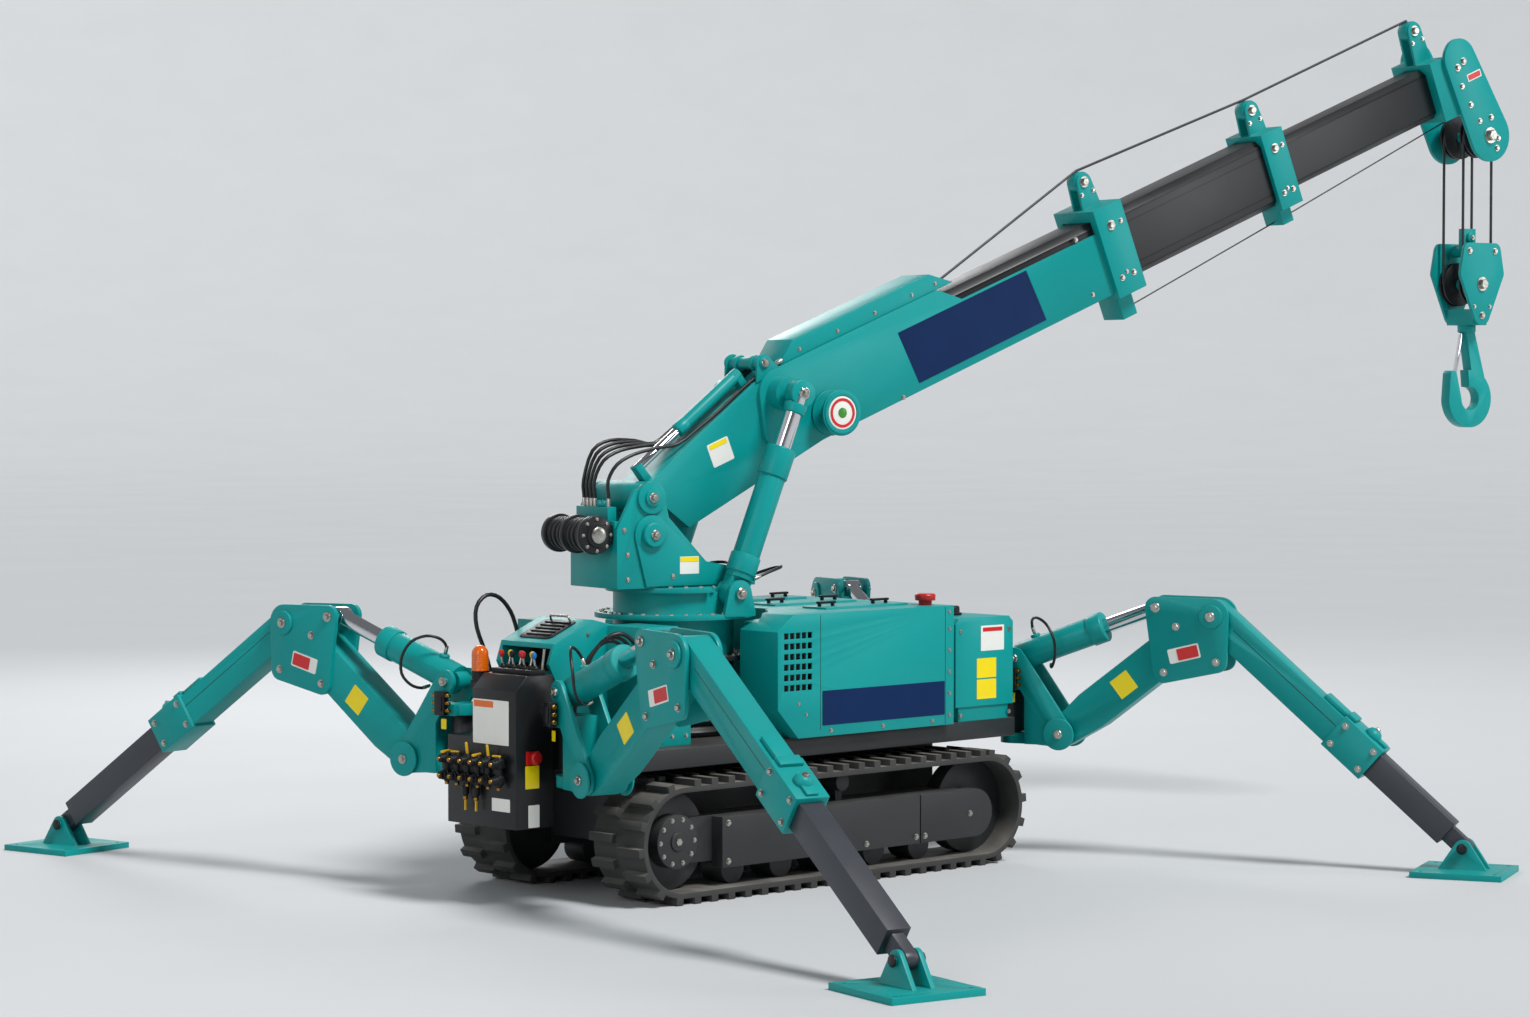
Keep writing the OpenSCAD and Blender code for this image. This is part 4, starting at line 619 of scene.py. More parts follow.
def tank_fittings():
    cap = bmesh.new()
    lathe(cap, MACHINE, (1620, -360, 1270), "z", [(0, 58), (10, 58), (12, 46), (38, 46), (46, 40)], 36)
    piece("filler_cap", "chassis", BLACK_PLASTIC, cap, 2)
    lid = bmesh.new()
    laid = MACHINE @ Matrix.Translation(Vector((1620, 0, 1268)) * MM) @ Matrix.Rotation(pi / 2, 4, "X")
    prism(lid, laid, rounded_rect((-150, 150), (-130, 130), 22), 0, 8)
    piece("tank_lid", "chassis", TEAL, lid, 1.5)
    for x in (-120, 120):
        for y in (-105, 105):
            bolt("chassis", MACHINE, (1620 + x, y, 1276), (0, 0, 1), 9)
    for s in SIDES:
        for x in (1440, 1805):
            for z in (770, 1200):
                bolt("chassis", MACHINE, (x, s * TANK_FACE, z), (0, s, 0), 9)


def track_fittings():
    rings = bmesh.new()
    for s in SIDES:
        bolt_ring("chassis", MACHINE, (SPROCKET[0], s * TRACK_FACE, SPROCKET[1]), "y", 108, 10, 9, s)
        bolt("chassis", MACHINE, (SPROCKET[0], s * TRACK_FACE, SPROCKET[1]), (0, s, 0), 20)
        lathe(rings, MACHINE, (SPROCKET[0], s * (TRACK_FACE - 1), SPROCKET[1]), "y",
            [(s * h, r) for h, r in ((0, 46), (9, 44), (10, 34))], 36)
        for x, z in GUARD_BOLTS:
            bolt("chassis", MACHINE, (x, s * GUARD_FACE, z), (0, s, 0), 12)
    piece("sprocket_hubs", "chassis", FRAME, rings, 1.5)


def flange_bolts():
    bolt_ring("chassis", MACHINE, (0, 0, 1135), "z", 343, 30, 11)
    bolt_ring("turret", TURRET, (0, 0, 1343), "z", 360, 32, 11)
    bolt_ring("turret", TURRET, (0, 0, 1474), "z", 318, 26, 11)


def chassis_plates():
    plates("cover_panels", "chassis", NAVY,
        [(MACHINE, (410, 1280), (789, 960), s * COVER_FACE, s, 4) for s in SIDES])
    plates("tank_plates_white", "chassis", WHITE,
        [(MACHINE, (1592, 1766), (1094, 1224), -TANK_FACE, -1, 4)])
    plates("tank_plates_red", "chassis", RED,
        [(MACHINE, (1606, 1752), (1194, 1214), -TANK_FACE - PLATE_T, -1, 3)])
    plates("tank_plates_yellow", "chassis", YELLOW,
        [(MACHINE, (1562, 1707), z, -TANK_FACE, -1, 4) for z in ((846, 947), (955, 1056))])
    front = MACHINE @ Matrix.Translation(Vector((STAND_FRONT, 0, 0)) * MM) @ Matrix.Rotation(pi / 2, 4, "Z")
    plates("control_plate", "chassis", WHITE, [(front, (-234, 31), (773, 983), 0, 1, 4),
        (front, (-242, -109), (460, 521), 0, 1, 4)])
    plates("control_plate_bar", "chassis", ORANGE, [(front, (-120, 22), (946, 976), PLATE_T, 1, 3)])
    near = -285
    plates("control_side_red", "chassis", RED, [(MACHINE, (-1189, -1108), (681, 745), near, -1, 3)])
    plates("control_side_yellow", "chassis", YELLOW, [(MACHINE, (-1193, -1109), (569, 677), near, -1, 3)])
    plates("control_side_white", "chassis", WHITE, [(MACHINE, (-1175, -1108), (385, 491), near, -1, 3)])
    plates("housing_plates", "chassis", WHITE,
        [(MACHINE, (-474, -349), (1057, 1234), -HOUSING_FACE, -1, 4)])
    plates("housing_plates_yellow", "chassis", YELLOW,
        [(MACHINE, (-470, -414), (1146, 1230), -HOUSING_FACE - PLATE_T, -1, 3)])
    plates("housing_plates_orange", "chassis", ORANGE,
        [(MACHINE, (-408, -353), (1206, 1230), -HOUSING_FACE - PLATE_T, -1, 3)])


# Valve hood, with the lever pocket and the hoses that leave it

HOOD_HW = 198
ROOF_LOW = (-940, 1235)
ROOF_HIGH = (-696, 1340)
POCKET_X = (-990, -762)


def hood_fittings():
    lining = bmesh.new()
    slab(lining, MACHINE, (POCKET_X[0] + 30, POCKET_X[1]), (-176, 176), (1106, 1112))
    slab(lining, MACHINE, (POCKET_X[1] - 6, POCKET_X[1] - 1), (-176, 176), (1112, 1230))
    for i in range(6):
        y = -140 + 56 * i
        lathe(lining, MACHINE, (-880, y, 1112), "z", [(0, 20), (6, 19), (14, 9), (18, 8)], 20)
    piece("pocket_lining", "chassis", BLACK_PLASTIC, lining, 1.5)
    run = Vector((ROOF_HIGH[0] - ROOF_LOW[0], 0, ROOF_HIGH[1] - ROOF_LOW[1]))
    roof = axes(MACHINE @ (Vector((ROOF_LOW[0], 0, ROOF_LOW[1])) * MM), run, Vector((0, 1, 0)))
    long = run.length
    flat = roof @ Matrix.Rotation(pi / 2, 4, "X")
    panel = bmesh.new()
    prism(panel, flat, rounded_rect((40, long - 30), (-120, 120), 30), 0, 5)
    for i in range(5):
        x = 70 + 32 * i
        prism(panel, flat, rounded_rect((x, x + 14), (-90, 90), 6), 5, 10)
    piece("roof_panel", "chassis", BLACK_PLASTIC, panel, 1.5)
    grip = bmesh.new()
    bow = ((-70, 3), (-66, 26), (-40, 30), (40, 30), (66, 26), (70, 3))
    tube(grip, smooth(local(roof, [(228, y, z) for y, z in bow]), 4), 6)
    piece("roof_handle", "chassis", ZINC, grip)
    seams = bmesh.new()
    for s in SIDES:
        outer = (s * HOUSING_FACE, s * (HOUSING_FACE + 0.6))
        slab(seams, MACHINE, (-505, -505 + SEAM_W), outer, (745, 1290))
        for x, z in ((-560, 780), (-560, 1180), (-350, 780), (-350, 1280), (-440, 780)):
            bolt("chassis", MACHINE, (x, s * HOUSING_FACE, z), (0, s, 0), 9)
        for x, z in ((-840, 960), (-730, 1270), (-840, 780)):
            bolt("chassis", MACHINE, (x, s * HOOD_HW, z), (0, s, 0), 8)
    piece("housing_seams", "chassis", BLACK, seams)


HOOD_HOSES = {
    "hose_near_a": (10.5, ((-905, -300, 862), (-905, -315, 960), (-882, -345, 1080), (-865, -385, 1190),
        (-800, -420, 1270), (-722, -445, 1285), (-655, -460, 1230), (-640, -455, 1150),
        (-680, -430, 1085), (-760, -370, 1055), (-820, -290, 1035), (-835, -202, 1020))),
    "hose_near_b": (9, ((-905, -262, 862), (-902, -280, 960), (-880, -310, 1075), (-845, -340, 1175),
        (-785, -368, 1240), (-718, -385, 1245), (-672, -392, 1200), (-668, -380, 1140),
        (-700, -350, 1090), (-740, -300, 1065), (-760, -250, 1055), (-765, -202, 1050))),
    "hose_near_c": (9, ((-938, -281, 862), (-925, -298, 960), (-884, -328, 1078), (-855, -362, 1182),
        (-792, -394, 1255), (-720, -415, 1265), (-664, -426, 1215), (-654, -418, 1145),
        (-690, -390, 1088), (-750, -335, 1060), (-790, -270, 1045), (-800, -202, 1035))),
    "hose_far": (10.5, ((-905, 300, 862), (-900, 310, 1000), (-930, 325, 1150), (-985, 330, 1290),
        (-985, 332, 1390), (-920, 335, 1445), (-840, 335, 1430), (-770, 335, 1360),
        (-735, 330, 1270), (-730, 310, 1180), (-735, 250, 1110), (-735, 202, 1085))),
}


def hood_hoses():
    for name, (radius, route) in HOOD_HOSES.items():
        hose(name, "chassis", local(MACHINE, route), radius)


# Control stand

LEVER_Z = 1100
LEVER_X = -1100
LEVER_ROW = [-250 + 40 * i for i in range(7)]
LEVER_KNOBS = (BLUE_PLASTIC, YELLOW_PLASTIC, RED_PLASTIC, RED_PLASTIC, BLACK_PLASTIC, YELLOW_PLASTIC,
    RED_PLASTIC)


def control_fittings():
    base = bmesh.new()
    slab(base, MACHINE, (LEVER_X - 46, LEVER_X + 46), (-268, 20), (LEVER_Z, LEVER_Z + 24))
    for y in LEVER_ROW:
        lathe(base, MACHINE, (LEVER_X, y, LEVER_Z + 24), "z", [(0, 17), (8, 16), (16, 9), (20, 8)], 20)
    bank = piece("lever_bank", "chassis", BLACK_PLASTIC, base, 2)
    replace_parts(bank, "controls")
    rods = bmesh.new()
    knobs = {m: bmesh.new() for m in (RED_PLASTIC, YELLOW_PLASTIC, BLUE_PLASTIC, BLACK_PLASTIC)}
    for i, (y, colour) in enumerate(zip(LEVER_ROW, LEVER_KNOBS)):
        lean = 14 if i % 2 else -10
        tip = (LEVER_X + lean, y, LEVER_Z + 82)
        tube(rods, local(MACHINE, [(LEVER_X, y, LEVER_Z + 30), tip]), 5)
        lathe(knobs[colour], MACHINE, tip, "z", [(-8, 7), (0, 11), (10, 14), (20, 12), (26, 5)], 20)
    long_rod = [(LEVER_X + 30, -262, LEVER_Z + 24), (LEVER_X + 40, -268, LEVER_Z + 120)]
    tube(rods, local(MACHINE, long_rod), 6)
    piece("lever_rods", "chassis", ZINC, rods)
    for colour, bm in knobs.items():
        piece("knobs_" + colour.name, "chassis", colour, bm)
    stop = bmesh.new()
    mushroom = [(0, 22), (-8, 22), (-12, 32), (-28, 32), (-36, 25)]
    lathe(stop, MACHINE, (-1145, -286, 715), "y", mushroom, 28)
    piece("stop_button", "chassis", RED_PLASTIC, stop, 2)


TAP_Z = 650
TAP_STEP = 78
TAP_TURNS = (0, 2, 1, 0, 1, 2)
TAP_BODY = [(-24, 22), (-16, 27), (16, 27), (24, 22)]
TAP_BARREL = [(-26, 14), (-20, 19), (-6, 19), (-4, 23), (24, 23)]


def tap_handle(handles, y, turn):
    """Flat lever on a tap: laid to the front, stood up, or turned to the side."""
    top = TAP_Z + 70
    if turn == 0:
        lever = arc((STAND_FRONT - 66, top), 6, 90, 270, 6)
        lever += arc((STAND_FRONT - 22, top + 6), 5, -90, 90, 6)
        prism(handles, MACHINE, lever, y - 5, y + 5)
    elif turn == 1:
        lever = arc((STAND_FRONT - 36, top), 6, 180, 360, 6)
        lever += arc((STAND_FRONT - 44, top + 52), 5, 0, 180, 6)
        prism(handles, MACHINE, lever, y - 5, y + 5)
    else:
        slab(handles, MACHINE, (STAND_FRONT - 43, STAND_FRONT - 29), (y - 8, y + 44), (top, top + 9))


def tap_cluster():
    front, z = STAND_FRONT, TAP_Z
    black = bmesh.new()
    side = bmesh.new()
    brass = bmesh.new()
    handles = bmesh.new()
    slab(black, MACHINE, (front - 36, front), (-90, 225), (z - 16, z + 16))
    slab(side, MACHINE, (front - 30, front), (-190, -90), (z - 14, z + 14))
    for i, turn in enumerate(TAP_TURNS):
        y = 186 - TAP_STEP * i
        body = black if i < 4 else side
        for rise in (40, -40):
            lathe(body, MACHINE, (front - 36, y, z + rise), "z", TAP_BODY, 6)
            lathe(body, MACHINE, (front - 60, y, z + rise), "x", TAP_BARREL, 18)
            lathe(brass, MACHINE, (front - 88, y, z + rise), "x", [(-4, 9), (2, 11), (4, 11)], 12)
        lathe(body, MACHINE, (front - 36, y, z), "z", [(-72, 12), (-62, 17), (62, 17), (72, 12)], 18)
        lathe(brass, MACHINE, (front - 36, y, z - 78), "z", [(-8, 8), (-6, 12), (4, 12), (6, 10)], 6)
        tap_handle(handles, y, turn)
    for y in (60, -20):
        drain = [(0, 12), (10, 18), (44, 18), (46, 12), (70, 12)]
        lathe(black, MACHINE, (front - 24, y, z - 130), "z", drain, 18)
        lathe(brass, MACHINE, (front - 24, y, z - 150), "z", [(0, 9), (3, 13), (16, 13), (20, 9)], 6)
        slab(handles, MACHINE, (front - 29, front - 19), (y - 5, y + 5), (z - 200, z - 150))
    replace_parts(piece("tap_bodies", "chassis", BLACK_PLASTIC, black, 2), "controls")
    piece("side_taps", "chassis", BLACK_PLASTIC, side, 2)
    piece("tap_brass", "chassis", BRASS, brass)
    piece("tap_handles", "chassis", YELLOW_PLASTIC, handles, 1.5)


def warning_lamp():
    x, y = -1135, 120
    base = bmesh.new()
    post = [(800, 18), (1010, 18), (1012, 44), (1060, 46), (1062, 40), (1098, 40), (1102, 44)]
    lathe(base, MACHINE, (x, y, 0), "z", post, 40)
    slab(base, MACHINE, (x - 60, x + 30), (y - 84, y - 20), (1000, 1050))
    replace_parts(piece("lamp_base", "chassis", BLACK_PLASTIC, base, 1.5), "lamp")
    lens = bmesh.new()
    dome = [(1184 + 40 * sin(radians(a)), 40 * cos(radians(a))) for a in range(0, 88, 8)]
    ribs = [(h + 12 * i, r) for i in range(6) for h, r in ((1112, 41), (1116, 39.4), (1120, 41))]
    lathe(lens, MACHINE, (x, y, 0), "z", [(1102, 41), *ribs, *dome], 48)
    piece("lamp_lens", "chassis", AMBER, lens, sharp=60)


# Turret

CHEEK_FACE = 222
BOSS = (-268, 1736)
WINCH = (-555, 1739.3)
MANIFOLD_X = (-470, -420)
MANIFOLD_Z = (1790, 1872)
HOSE_LANES = (-124, 5, 40, 75, 110)
HOSE_RUN = ((450, 188), (600, 223), (760, 271), (900, 302), (1026, 312))
LIFT_HOSE = ((322, 120, 1505), (390, 130, 1520), (450, 175, 1545), (472, 245, 1562), (430, 308, 1560),
    (350, 328, 1540), (258, 330, 1508))


def turret_plates():
    bm = bmesh.new()
    outline = arc(BOSS, 96, 200, 40, 14) + [(46, 1588), (322, 1534), (322, 1482), (-300, 1482)]
    for s in SIDES:
        prism(bm, TURRET, outline, s * CHEEK_FACE, s * (CHEEK_FACE + 14))
        boss = [(s * h, r) for h, r in ((0, 62), (40, 62), (46, 56))]
        lathe(bm, TURRET, (BOSS[0], s * CHEEK_FACE, BOSS[1]), "y", boss, 32)
        for x, z in ((-400, 1520), (-400, 1640), (-420, 1760), (-150, 1530), (250, 1508)):
            bolt("turret", TURRET, (x, s * (CHEEK_FACE + (14 if x > -300 else 0)), z), (0, s, 0), 10)
    piece("turret_front_plates", "turret", TEAL, bm, 3)
    pins = [(BOSS[0], CHEEK_FACE + 46, BOSS[1]), (-268, 250, 1916.3)]
    pin_caps("turret_pins", "turret", TURRET, pins, 26)
    face = -CHEEK_FACE - 14
    plates("turret_plates_white", "turret", WHITE, [(TURRET, (-110, 0), (1540, 1625), face, -1, 4)])
    plates("turret_plates_yellow", "turret", YELLOW,
        [(TURRET, (-108, -2), (1600, 1623), face - PLATE_T, -1, 3)])


def winch_fittings():
    bm = bmesh.new()
    caps = bmesh.new()
    for s in SIDES:
        disc = [(s * h, r) for h, r in ((0, 92), (12, 92), (14, 60), (24, 58))]
        cap = [(s * h, r) for h, r in ((0, 40), (8, 40), (12, 32), (14, 18))]
        lathe(bm, TURRET, (WINCH[0], s * 180, WINCH[1]), "y", disc, 40)
        lathe(caps, TURRET, (WINCH[0], s * 204, WINCH[1]), "y", cap, 32)
        bolt_ring("turret", TURRET, (WINCH[0], s * 192, WINCH[1]), "y", 76, 8, 8, s)
    for y in (-130, -90, -50, 50, 90, 130):
        lathe(bm, TURRET, (WINCH[0], y, WINCH[1]), "y", [(-8, 78), (-5, 84), (5, 84), (8, 78)], 40)
    piece("winch_rings", "turret", BLACK, bm, 1.5)
    piece("winch_caps", "turret", ZINC, caps)


def turret_hoses():
    block = bmesh.new()
    slab(block, TURRET, MANIFOLD_X, (-150, 150), MANIFOLD_Z)
    middle = sum(MANIFOLD_X) / 2
    for y in (-110, -70, -30):
        lathe(block, TURRET, (middle, y, MANIFOLD_Z[1]), "z", [(0, 16), (18, 16), (22, 12), (30, 12)], 6)
    piece("hose_manifold", "turret", TEAL, block, 3)
    for i, y in enumerate(HOSE_LANES):
        rise = 16 * i
        start = ((middle, MANIFOLD_Z[1] - 4), (middle - 4, 1925), (middle - 6, 2000),
            (-400, 2078 + rise), (-300, 2128 + rise), (-160, 2158 + rise / 2))
        landing = local(BOOM, [(300, y, 158)])[0]
        route = local(TURRET, [(x, y, z) for x, z in start])
        route += [landing, *local(BOOM, [(u, y, v) for u, v in HOSE_RUN])]
        hose("boom_hose_" + str(i), "turret", route, 9, "boom_base")
    for s, side in ((-1, "near"), (1, "far")):
        route = local(TURRET, [(x, s * y, z) for x, y, z in LIFT_HOSE])
        hose("lift_hose_" + side, "turret", route, 8, "lift_barrels")


# Boom

BASE_FACE = 140
HEAD_FACE = 182
# share of the collar's length, share of its height, head radius
COLLAR_BOLTS = ((0.45, 0.78, 20), (0.8, 0.78, 11), (0.3, 0.2, 13), (0.72, 0.2, 13), (0.5, 0.24, 9))
HEAD_BOLTS = ((6008, -294, 34), (6050, -200, 14), (5960, -190, 12), (5925, -80, 14), (5900, 40, 13),
    (5960, 170, 16), (5905, 150, 16), (6060, -330, 13), (6030, -380, 14))
BLOCK_FACE = 125
BLOCK_BOLTS = ((-100, 190, 14), (100, 190, 14), (0, 0, 30), (0, -180, 16), (-60, -130, 9), (60, -130, 9))
REEL = (1190, -244, -40)
LIFT_LENGTH = (LIFT.inverted() @ BOOM @ (Vector((934, 0, 170)) * MM)).x / MM
LIFT_SIDE = 330


def boom_plates():
    slant = 30
    bm = bmesh.new()
    outline = [(1760, -110), (2650, -110), (2650 - slant, 180), (1760 - slant, 180)]
    for s in SIDES:
        prism(bm, BOOM, outline, s * BASE_FACE, s * (BASE_FACE + PLATE_T))
    piece("boom_panels", "boom_base", NAVY, bm)
    plates("boom_plates_white", "boom_base", WHITE, [(BOOM, (440, 570), (-30, 90), -BASE_FACE, -1, 8)])
    plates("boom_plates_yellow", "boom_base", YELLOW,
        [(BOOM, (452, 558), (60, 84), -BASE_FACE - PLATE_T, -1, 5)])
    white = bmesh.new()
    lathe(white, BOOM, REEL, "y", [(0, 84), (-3, 84), (-4, 80)], 48)
    piece("reel_plate", "boom_base", WHITE, white)
    ring = bmesh.new()
    lathe(ring, BOOM, REEL, "y", [(-3, 74), (-6, 74), (-6, 60), (-3, 60)], 48, True)
    piece("reel_ring", "boom_base", RED, ring)
    spot_plate = bmesh.new()
    lathe(spot_plate, BOOM, REEL, "y", [(-3, 26), (-5, 26), (-6, 24)], 36)
    piece("reel_spot", "boom_base", GREEN, spot_plate)
    rim = bmesh.new()
    lathe(rim, BOOM, REEL, "y", [(2, 108), (-5, 106), (-7, 98), (-5, 88), (2, 86)], 48)
    piece("reel_rim", "boom_base", TEAL, rim)
    for s in SIDES:
        for u in (1150, 1400, 1650, 1900, 2060):
            bolt("boom_base", BOOM, (u, s * 118, 322), (0, s, 0), 8)
        for u, v in ((2990, 210), (2990, -100), (880, 250), (1640, -140)):
            bolt("boom_base", BOOM, (u, s * BASE_FACE, v), (0, s, 0), 10)


def collar_fittings():
    collars = (("boom_base", 3130, 200, 170, -180, 315), ("boom_middle", 4400, 160, 148, -153, 283))
    for body, u, l, face, low, high in collars:
        for s in SIDES:
            for x, z, size in COLLAR_BOLTS:
                bolt(body, BOOM, (u + x * l, s * face, low + z * (high - low)), (0, s, 0), size)
    for body, u, v in (("boom_base", 3230, 453), ("boom_middle", 4480, 411), ("boom_tip", 5795, 420)):
        for s in SIDES:
            bolt(body, BOOM, (u, s * 44, v), (0, s, 0), 22)
            bolt(body, BOOM, (u - 40, s * 44, v - 62), (0, s, 0), 10)
            bolt(body, BOOM, (u + 40, s * 44, v - 62), (0, s, 0), 10)
    for s in SIDES:
        for x, z, size in HEAD_BOLTS:
            bolt("boom_tip", BOOM, (x, s * HEAD_FACE, z), (0, s, 0), size)
    plates("head_plates", "boom_tip", WHITE,
        [(BOOM, (5955, 6065), (46, 88), s * HEAD_FACE, s, 3) for s in SIDES])
    plates("head_plates_red", "boom_tip", RED,
        [(BOOM, (5962, 6058), (52, 82), s * (HEAD_FACE + PLATE_T), s, 3) for s in SIDES])


def lift_fittings():
    rings = bmesh.new()
    eyes = bmesh.new()
    for s in SIDES:
        y = s * LIFT_SIDE
        gland = [(610, 60), (612, 76), (756, 76), (762, 70), (762, 60)]
        lathe(rings, LIFT, (0, y, 0), "x", gland, 40, True)
        lathe(rings, LIFT, (0, y, 0), "x", [(100, 60), (104, 76), (196, 76), (200, 60)], 40, True)
        eye = [(s * h, r) for h, r in ((-34, 64), (-31, 70), (35, 70), (38, 64))]
        lathe(eyes, LIFT, (LIFT_LENGTH, y, 0), "y", eye, 44)
        neck = [(LIFT_LENGTH - 110, 47), (LIFT_LENGTH - 106, 54), (LIFT_LENGTH - 60, 60)]
        lathe(eyes, LIFT, (0, y, 0), "x", neck, 36)
    piece("lift_rings", "lift_barrels", TEAL, rings, 2)
    piece("lift_eyes", "lift_rods", TEAL, eyes, 2)
    pin_caps("lift_top_pins", "lift_rods", LIFT, [(LIFT_LENGTH, LIFT_SIDE + 47, 0)], 26)
    pin_caps("lift_low_pins", "turret", LIFT, [(0, LIFT_SIDE + 74, 0)], 30)


ROPE_R = 7
ROPE_STOPS = {"cover": (2160, 300), "a": (3230, 516), "b": (4480, 474), "head": (5795, 483)}
CABLE_R = 4
CABLE_STOPS = {"a": (3230, -290), "b": (4480, -229), "head": (5880, -150)}


def strung(name, ends, bodies, radius):
    """Taut line between two points of the boom; between two bodies it rides on neither and stays fixed in place.
    """
    (u0, v0), (u1, v1) = ends
    line = local(BOOM, [(u0 + (u1 - u0) * i / 24, 0, v0 + (v1 - v0) * i / 24) for i in range(25)])
    bm = bmesh.new()
    tube(bm, line, radius, 10)
    made = piece(name, bodies[0] if len(bodies) == 1 else None, ROPE, bm)
    if len(bodies) == 2:
        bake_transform(made)


def boom_ropes():
    first, second = ("boom_base", "boom_middle"), ("boom_middle", "boom_tip")
    strung("rope_base", (ROPE_STOPS["cover"], ROPE_STOPS["a"]), ("boom_base",), ROPE_R)
    strung("rope_middle", (ROPE_STOPS["a"], ROPE_STOPS["b"]), first, ROPE_R)
    strung("rope_tip", (ROPE_STOPS["b"], ROPE_STOPS["head"]), second, ROPE_R)
    strung("cable_middle", (CABLE_STOPS["a"], CABLE_STOPS["b"]), first, CABLE_R)
    strung("cable_tip", (CABLE_STOPS["b"], CABLE_STOPS["head"]), second, CABLE_R)


FALL_LENGTH = 850
FALL_X = 111
FALL_Y = 78
FALL_R = 8


def hook_falls():
    """Four falls of the hoist rope between the head's sheaves and the block's, fixed in place."""
    bm = bmesh.new()
    for x in (-FALL_X, FALL_X):
        for y in (-FALL_Y, FALL_Y):
            tube(bm, local(BLOCK, [(x, y, FALL_LENGTH * i / 20) for i in range(21)]), FALL_R, 12)
    made = piece("falls", None, ROPE, bm)
    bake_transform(made)
    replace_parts(made, "rope_falls")


def boom_top_cylinder():
    slope = BOOM @ Matrix.Translation(Vector((60, 0, 120)) * MM) @ Matrix.Rotation(radians(-16.5), 4, "Y")
    bm = bmesh.new()
    lathe(bm, slope, (0, -70, 0), "x", [(0, 24), (396, 24), (400, 22)], 28)
    piece("tilt_rod", "boom_base", CHROME, bm)
    bm = bmesh.new()
    barrel = [(300, 33), (305, 36), (360, 36), (365, 33), (370, 33), (760, 33)]
    lathe(bm, slope, (0, -70, 0), "x", barrel, 28)
    for x in (10, 740):
        slab(bm, slope, (x - 20, x + 20), (-100, -40), (-75, 20))
    piece("tilt_barrel", "boom_base", TEAL, bm, 2)
    bar = bmesh.new()
    lathe(bar, BOOM, (905, 0, 345), "y", [(-158, 26), (-154, 30), (154, 30), (158, 26)], 28)
    for s in SIDES:
        prism(bar, BOOM, arc((905, 345), 46, 180, 0, 10) + [(985, 286), (825, 268)], s * 136, s * 150)
        lathe(bar, BOOM, (905, s * 70, 345), "y", [(-14, 36), (-11, 40), (11, 40), (14, 36)], 28)
    piece("hose_guide", "boom_base", TEAL, bar, 2)
    pin_caps("hose_guide_pins", "boom_base", BOOM, [(905, 158, 345)], 22)


def block_fittings():
    for s in SIDES:
        for x, z, size in BLOCK_BOLTS:
            bolt("hook_block", BLOCK, (x, s * BLOCK_FACE, z), (0, s, 0), size)
    bm = bmesh.new()
    lathe(bm, BLOCK, (0, 0, 270), "y", [(-42, 20), (-38, 30), (38, 30), (42, 20)], 28)
    piece("becket_boss", "hook_block", TEAL, bm, 1.5)
    pin_caps("becket_pin", "hook_block", BLOCK, [(0, 42, 270)], 14)


# Outriggers

LEG_FACE = 70
KNEE_FACE = 97
BRACKET_FACE = 114
VALVE_Z = (870, 985)
# along the jack, out to its side, up from its middle
JACK_HOSE = ((120, 0, 88), (122, 6, 128), (145, 40, 160), (190, 92, 160), (240, 132, 110), (258, 148, 25),
    (235, 142, -55), (195, 105, -98), (165, 55, -108), (152, 8, -92))


def leg_valve(k, m):
    """Small valve with ports and a tag on the bracket's side that m gives."""
    bracket = "bracket_" + k
    valve = bmesh.new()
    ports = bmesh.new()
    slab(valve, SWUNG[k], (-16, 44), (-BRACKET_FACE * m, -152 * m), VALVE_Z)
    slab(valve, SWUNG[k], (-6, 34), (-152 * m, -160 * m), (VALVE_Z[0] + 20, VALVE_Z[1] - 20))
    for i in range(3):
        z = VALVE_Z[0] + 22 + 36 * i
        for x, turn in ((-16, -1), (44, 1)):
            nut = [(turn * h, r) for h, r in ((0, 11), (12, 11), (14, 8), (26, 8))]
            lathe(ports, SWUNG[k], (x, -134 * m, z), "x", nut, 6)
    piece("leg_valve_" + k, bracket, BLACK, valve, 2)
    piece("leg_valve_ports_" + k, bracket, BRASS, ports)
    tag = (SWUNG[k], (-2, 30), (VALVE_Z[0] - 70, VALVE_Z[0] - 20), -BRACKET_FACE * m, -m, 3)
    plates("leg_valve_tag_" + k, bracket, YELLOW, [tag])


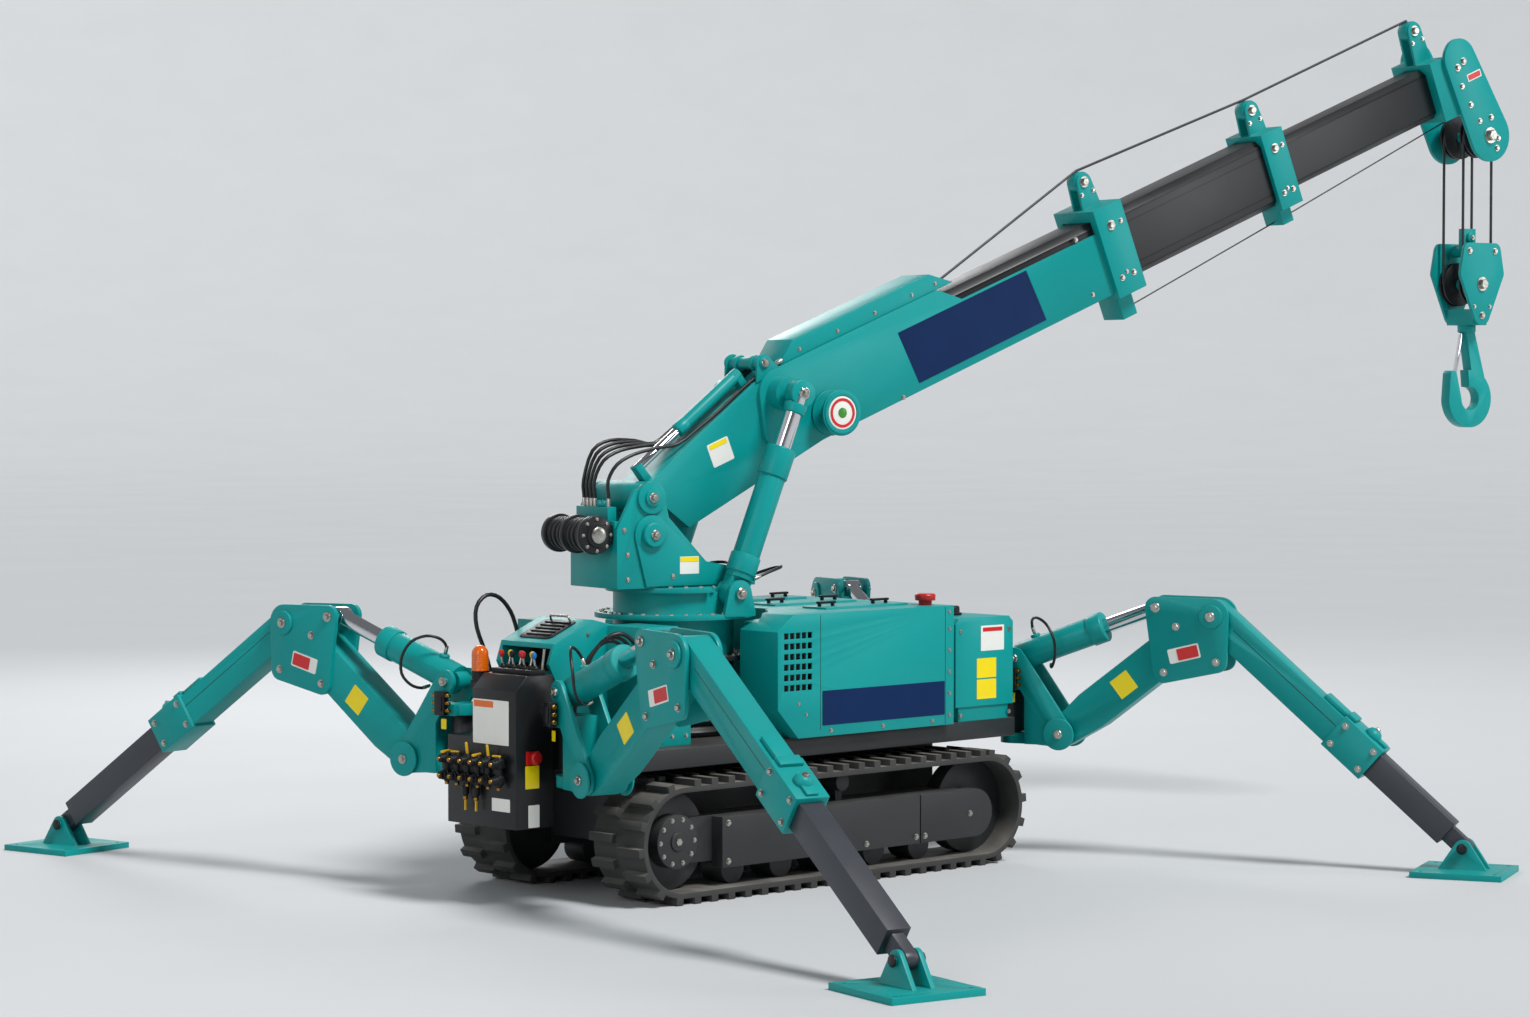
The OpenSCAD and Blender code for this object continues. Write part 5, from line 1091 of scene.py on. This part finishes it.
def outrigger_fittings(k):
    bodies = ("bracket_", "arm_", "leg_", "foot_", "jack_barrel_")
    bracket, arm, leg, foot, barrel = (n + k for n in bodies)
    pins = [(270, BRACKET_FACE + 12, 640), (20, BRACKET_FACE, 1030)]
    pin_caps("bracket_pins_" + k, bracket, SWUNG[k], pins, 24)
    pin_caps("knee_pins_" + k, arm, ARM[k], [(1030, KNEE_FACE + 15, 0), (822, KNEE_FACE, 214)], 26)
    bosses = bmesh.new()
    seams = bmesh.new()
    discs = bmesh.new()
    for s in SIDES:
        boss = [(s * h, r) for h, r in ((0, 62), (12, 62), (15, 58))]
        lathe(bosses, ARM[k], (1030, s * KNEE_FACE, 0), "y", boss, 36)
        for x, z in ((908, -202), (652, -78), (850, 70)):
            bolt(arm, ARM[k], (x, s * KNEE_FACE, z), (0, s, 0), 15)
        for x in (885, 1075):
            for z in (-60, 60):
                bolt(leg, LEG[k], (x, s * 85, z), (0, s, 0), 13)
        slab(seams, LEG[k], (130, 846), (s * LEG_FACE, s * (LEG_FACE + 0.6)), (22, 22 + SEAM_W))
        disc = [(s * h, r) for h, r in ((0, 84), (9, 84), (12, 80))]
        lathe(discs, SWUNG[k], (270, s * BRACKET_FACE, 640), "y", disc, 40)
    piece("leg_seams_" + k, leg, BLACK, seams)
    piece("pivot_discs_" + k, bracket, TEAL, discs, 1.5)
    piece("knee_bosses_" + k, arm, TEAL, bosses, 1.5)
    sign = ARM[k] @ Matrix.Translation(Vector((800, 0, -66)) * MM) @ Matrix.Rotation(radians(24), 4, "Y")
    plates("knee_plates_" + k, arm, WHITE,
        [(sign, (-84, 84), (-38, 38), s * KNEE_FACE, s, 8) for s in SIDES])
    plates("knee_plates_red_" + k, arm, RED,
        [(sign, (-36, 76), (-30, 30), s * (KNEE_FACE + PLATE_T), s, 5) for s in SIDES])
    plates("arm_plates_" + k, arm, YELLOW,
        [(ARM[k], (380, 490), (-55, 55), s * 75, s, 3) for s in SIDES])
    top = bmesh.new()
    slab(top, LEG[k], (700, 850), (-48, 48), (82, 106))
    slab(top, LEG[k], (850, 905), (-60, 60), (97, 116))
    lathe(top, LEG[k], (1010, 0, 97), "z", [(0, 46), (16, 44), (34, 32), (42, 18)], 28)
    slab(top, LEG[k], (985, 1100), (-30, 30), (97, 112))
    piece("leg_stops_" + k, leg, TEAL, top, 3)
    bolt(leg, LEG[k], (1010, 0, 138), (0, 0, 1), 13)
    rings = bmesh.new()
    lathe(rings, JACK[k], (0, 0, 0), "x", [(418, 74), (420, 81), (496, 81), (502, 75), (502, 32)], 40)
    lathe(rings, JACK[k], (120, 0, 70), "z", [(0, 26), (14, 26), (18, 20)], 24)
    piece("jack_rings_" + k, barrel, TEAL, rings, 2)
    caps = bmesh.new()
    for s in SIDES:
        cap = [(s * h, r) for h, r in ((0, 27), (7, 27), (10, 22))]
        lathe(caps, ANKLE[k], (0, s * 69, 0), "y", cap, 28)
    piece("ankle_caps_" + k, foot, BLACK, caps, 1)
    m = 1 if k.endswith("n") else -1
    leg_valve(k, m)
    hose("jack_hose_" + k, barrel, local(JACK[k], [(x, -y * m, z) for x, y, z in JACK_HOSE]), 7.5)


grille_backs()
cover_fittings()
tank_fittings()
track_fittings()
flange_bolts()
chassis_plates()
hood_fittings()
hood_hoses()
control_fittings()
tap_cluster()
warning_lamp()
turret_plates()
winch_fittings()
turret_hoses()
boom_plates()
collar_fittings()
lift_fittings()
boom_ropes()
hook_falls()
boom_top_cylinder()
block_fittings()
for k in LEGS:
    outrigger_fittings(k)
set_bolts()
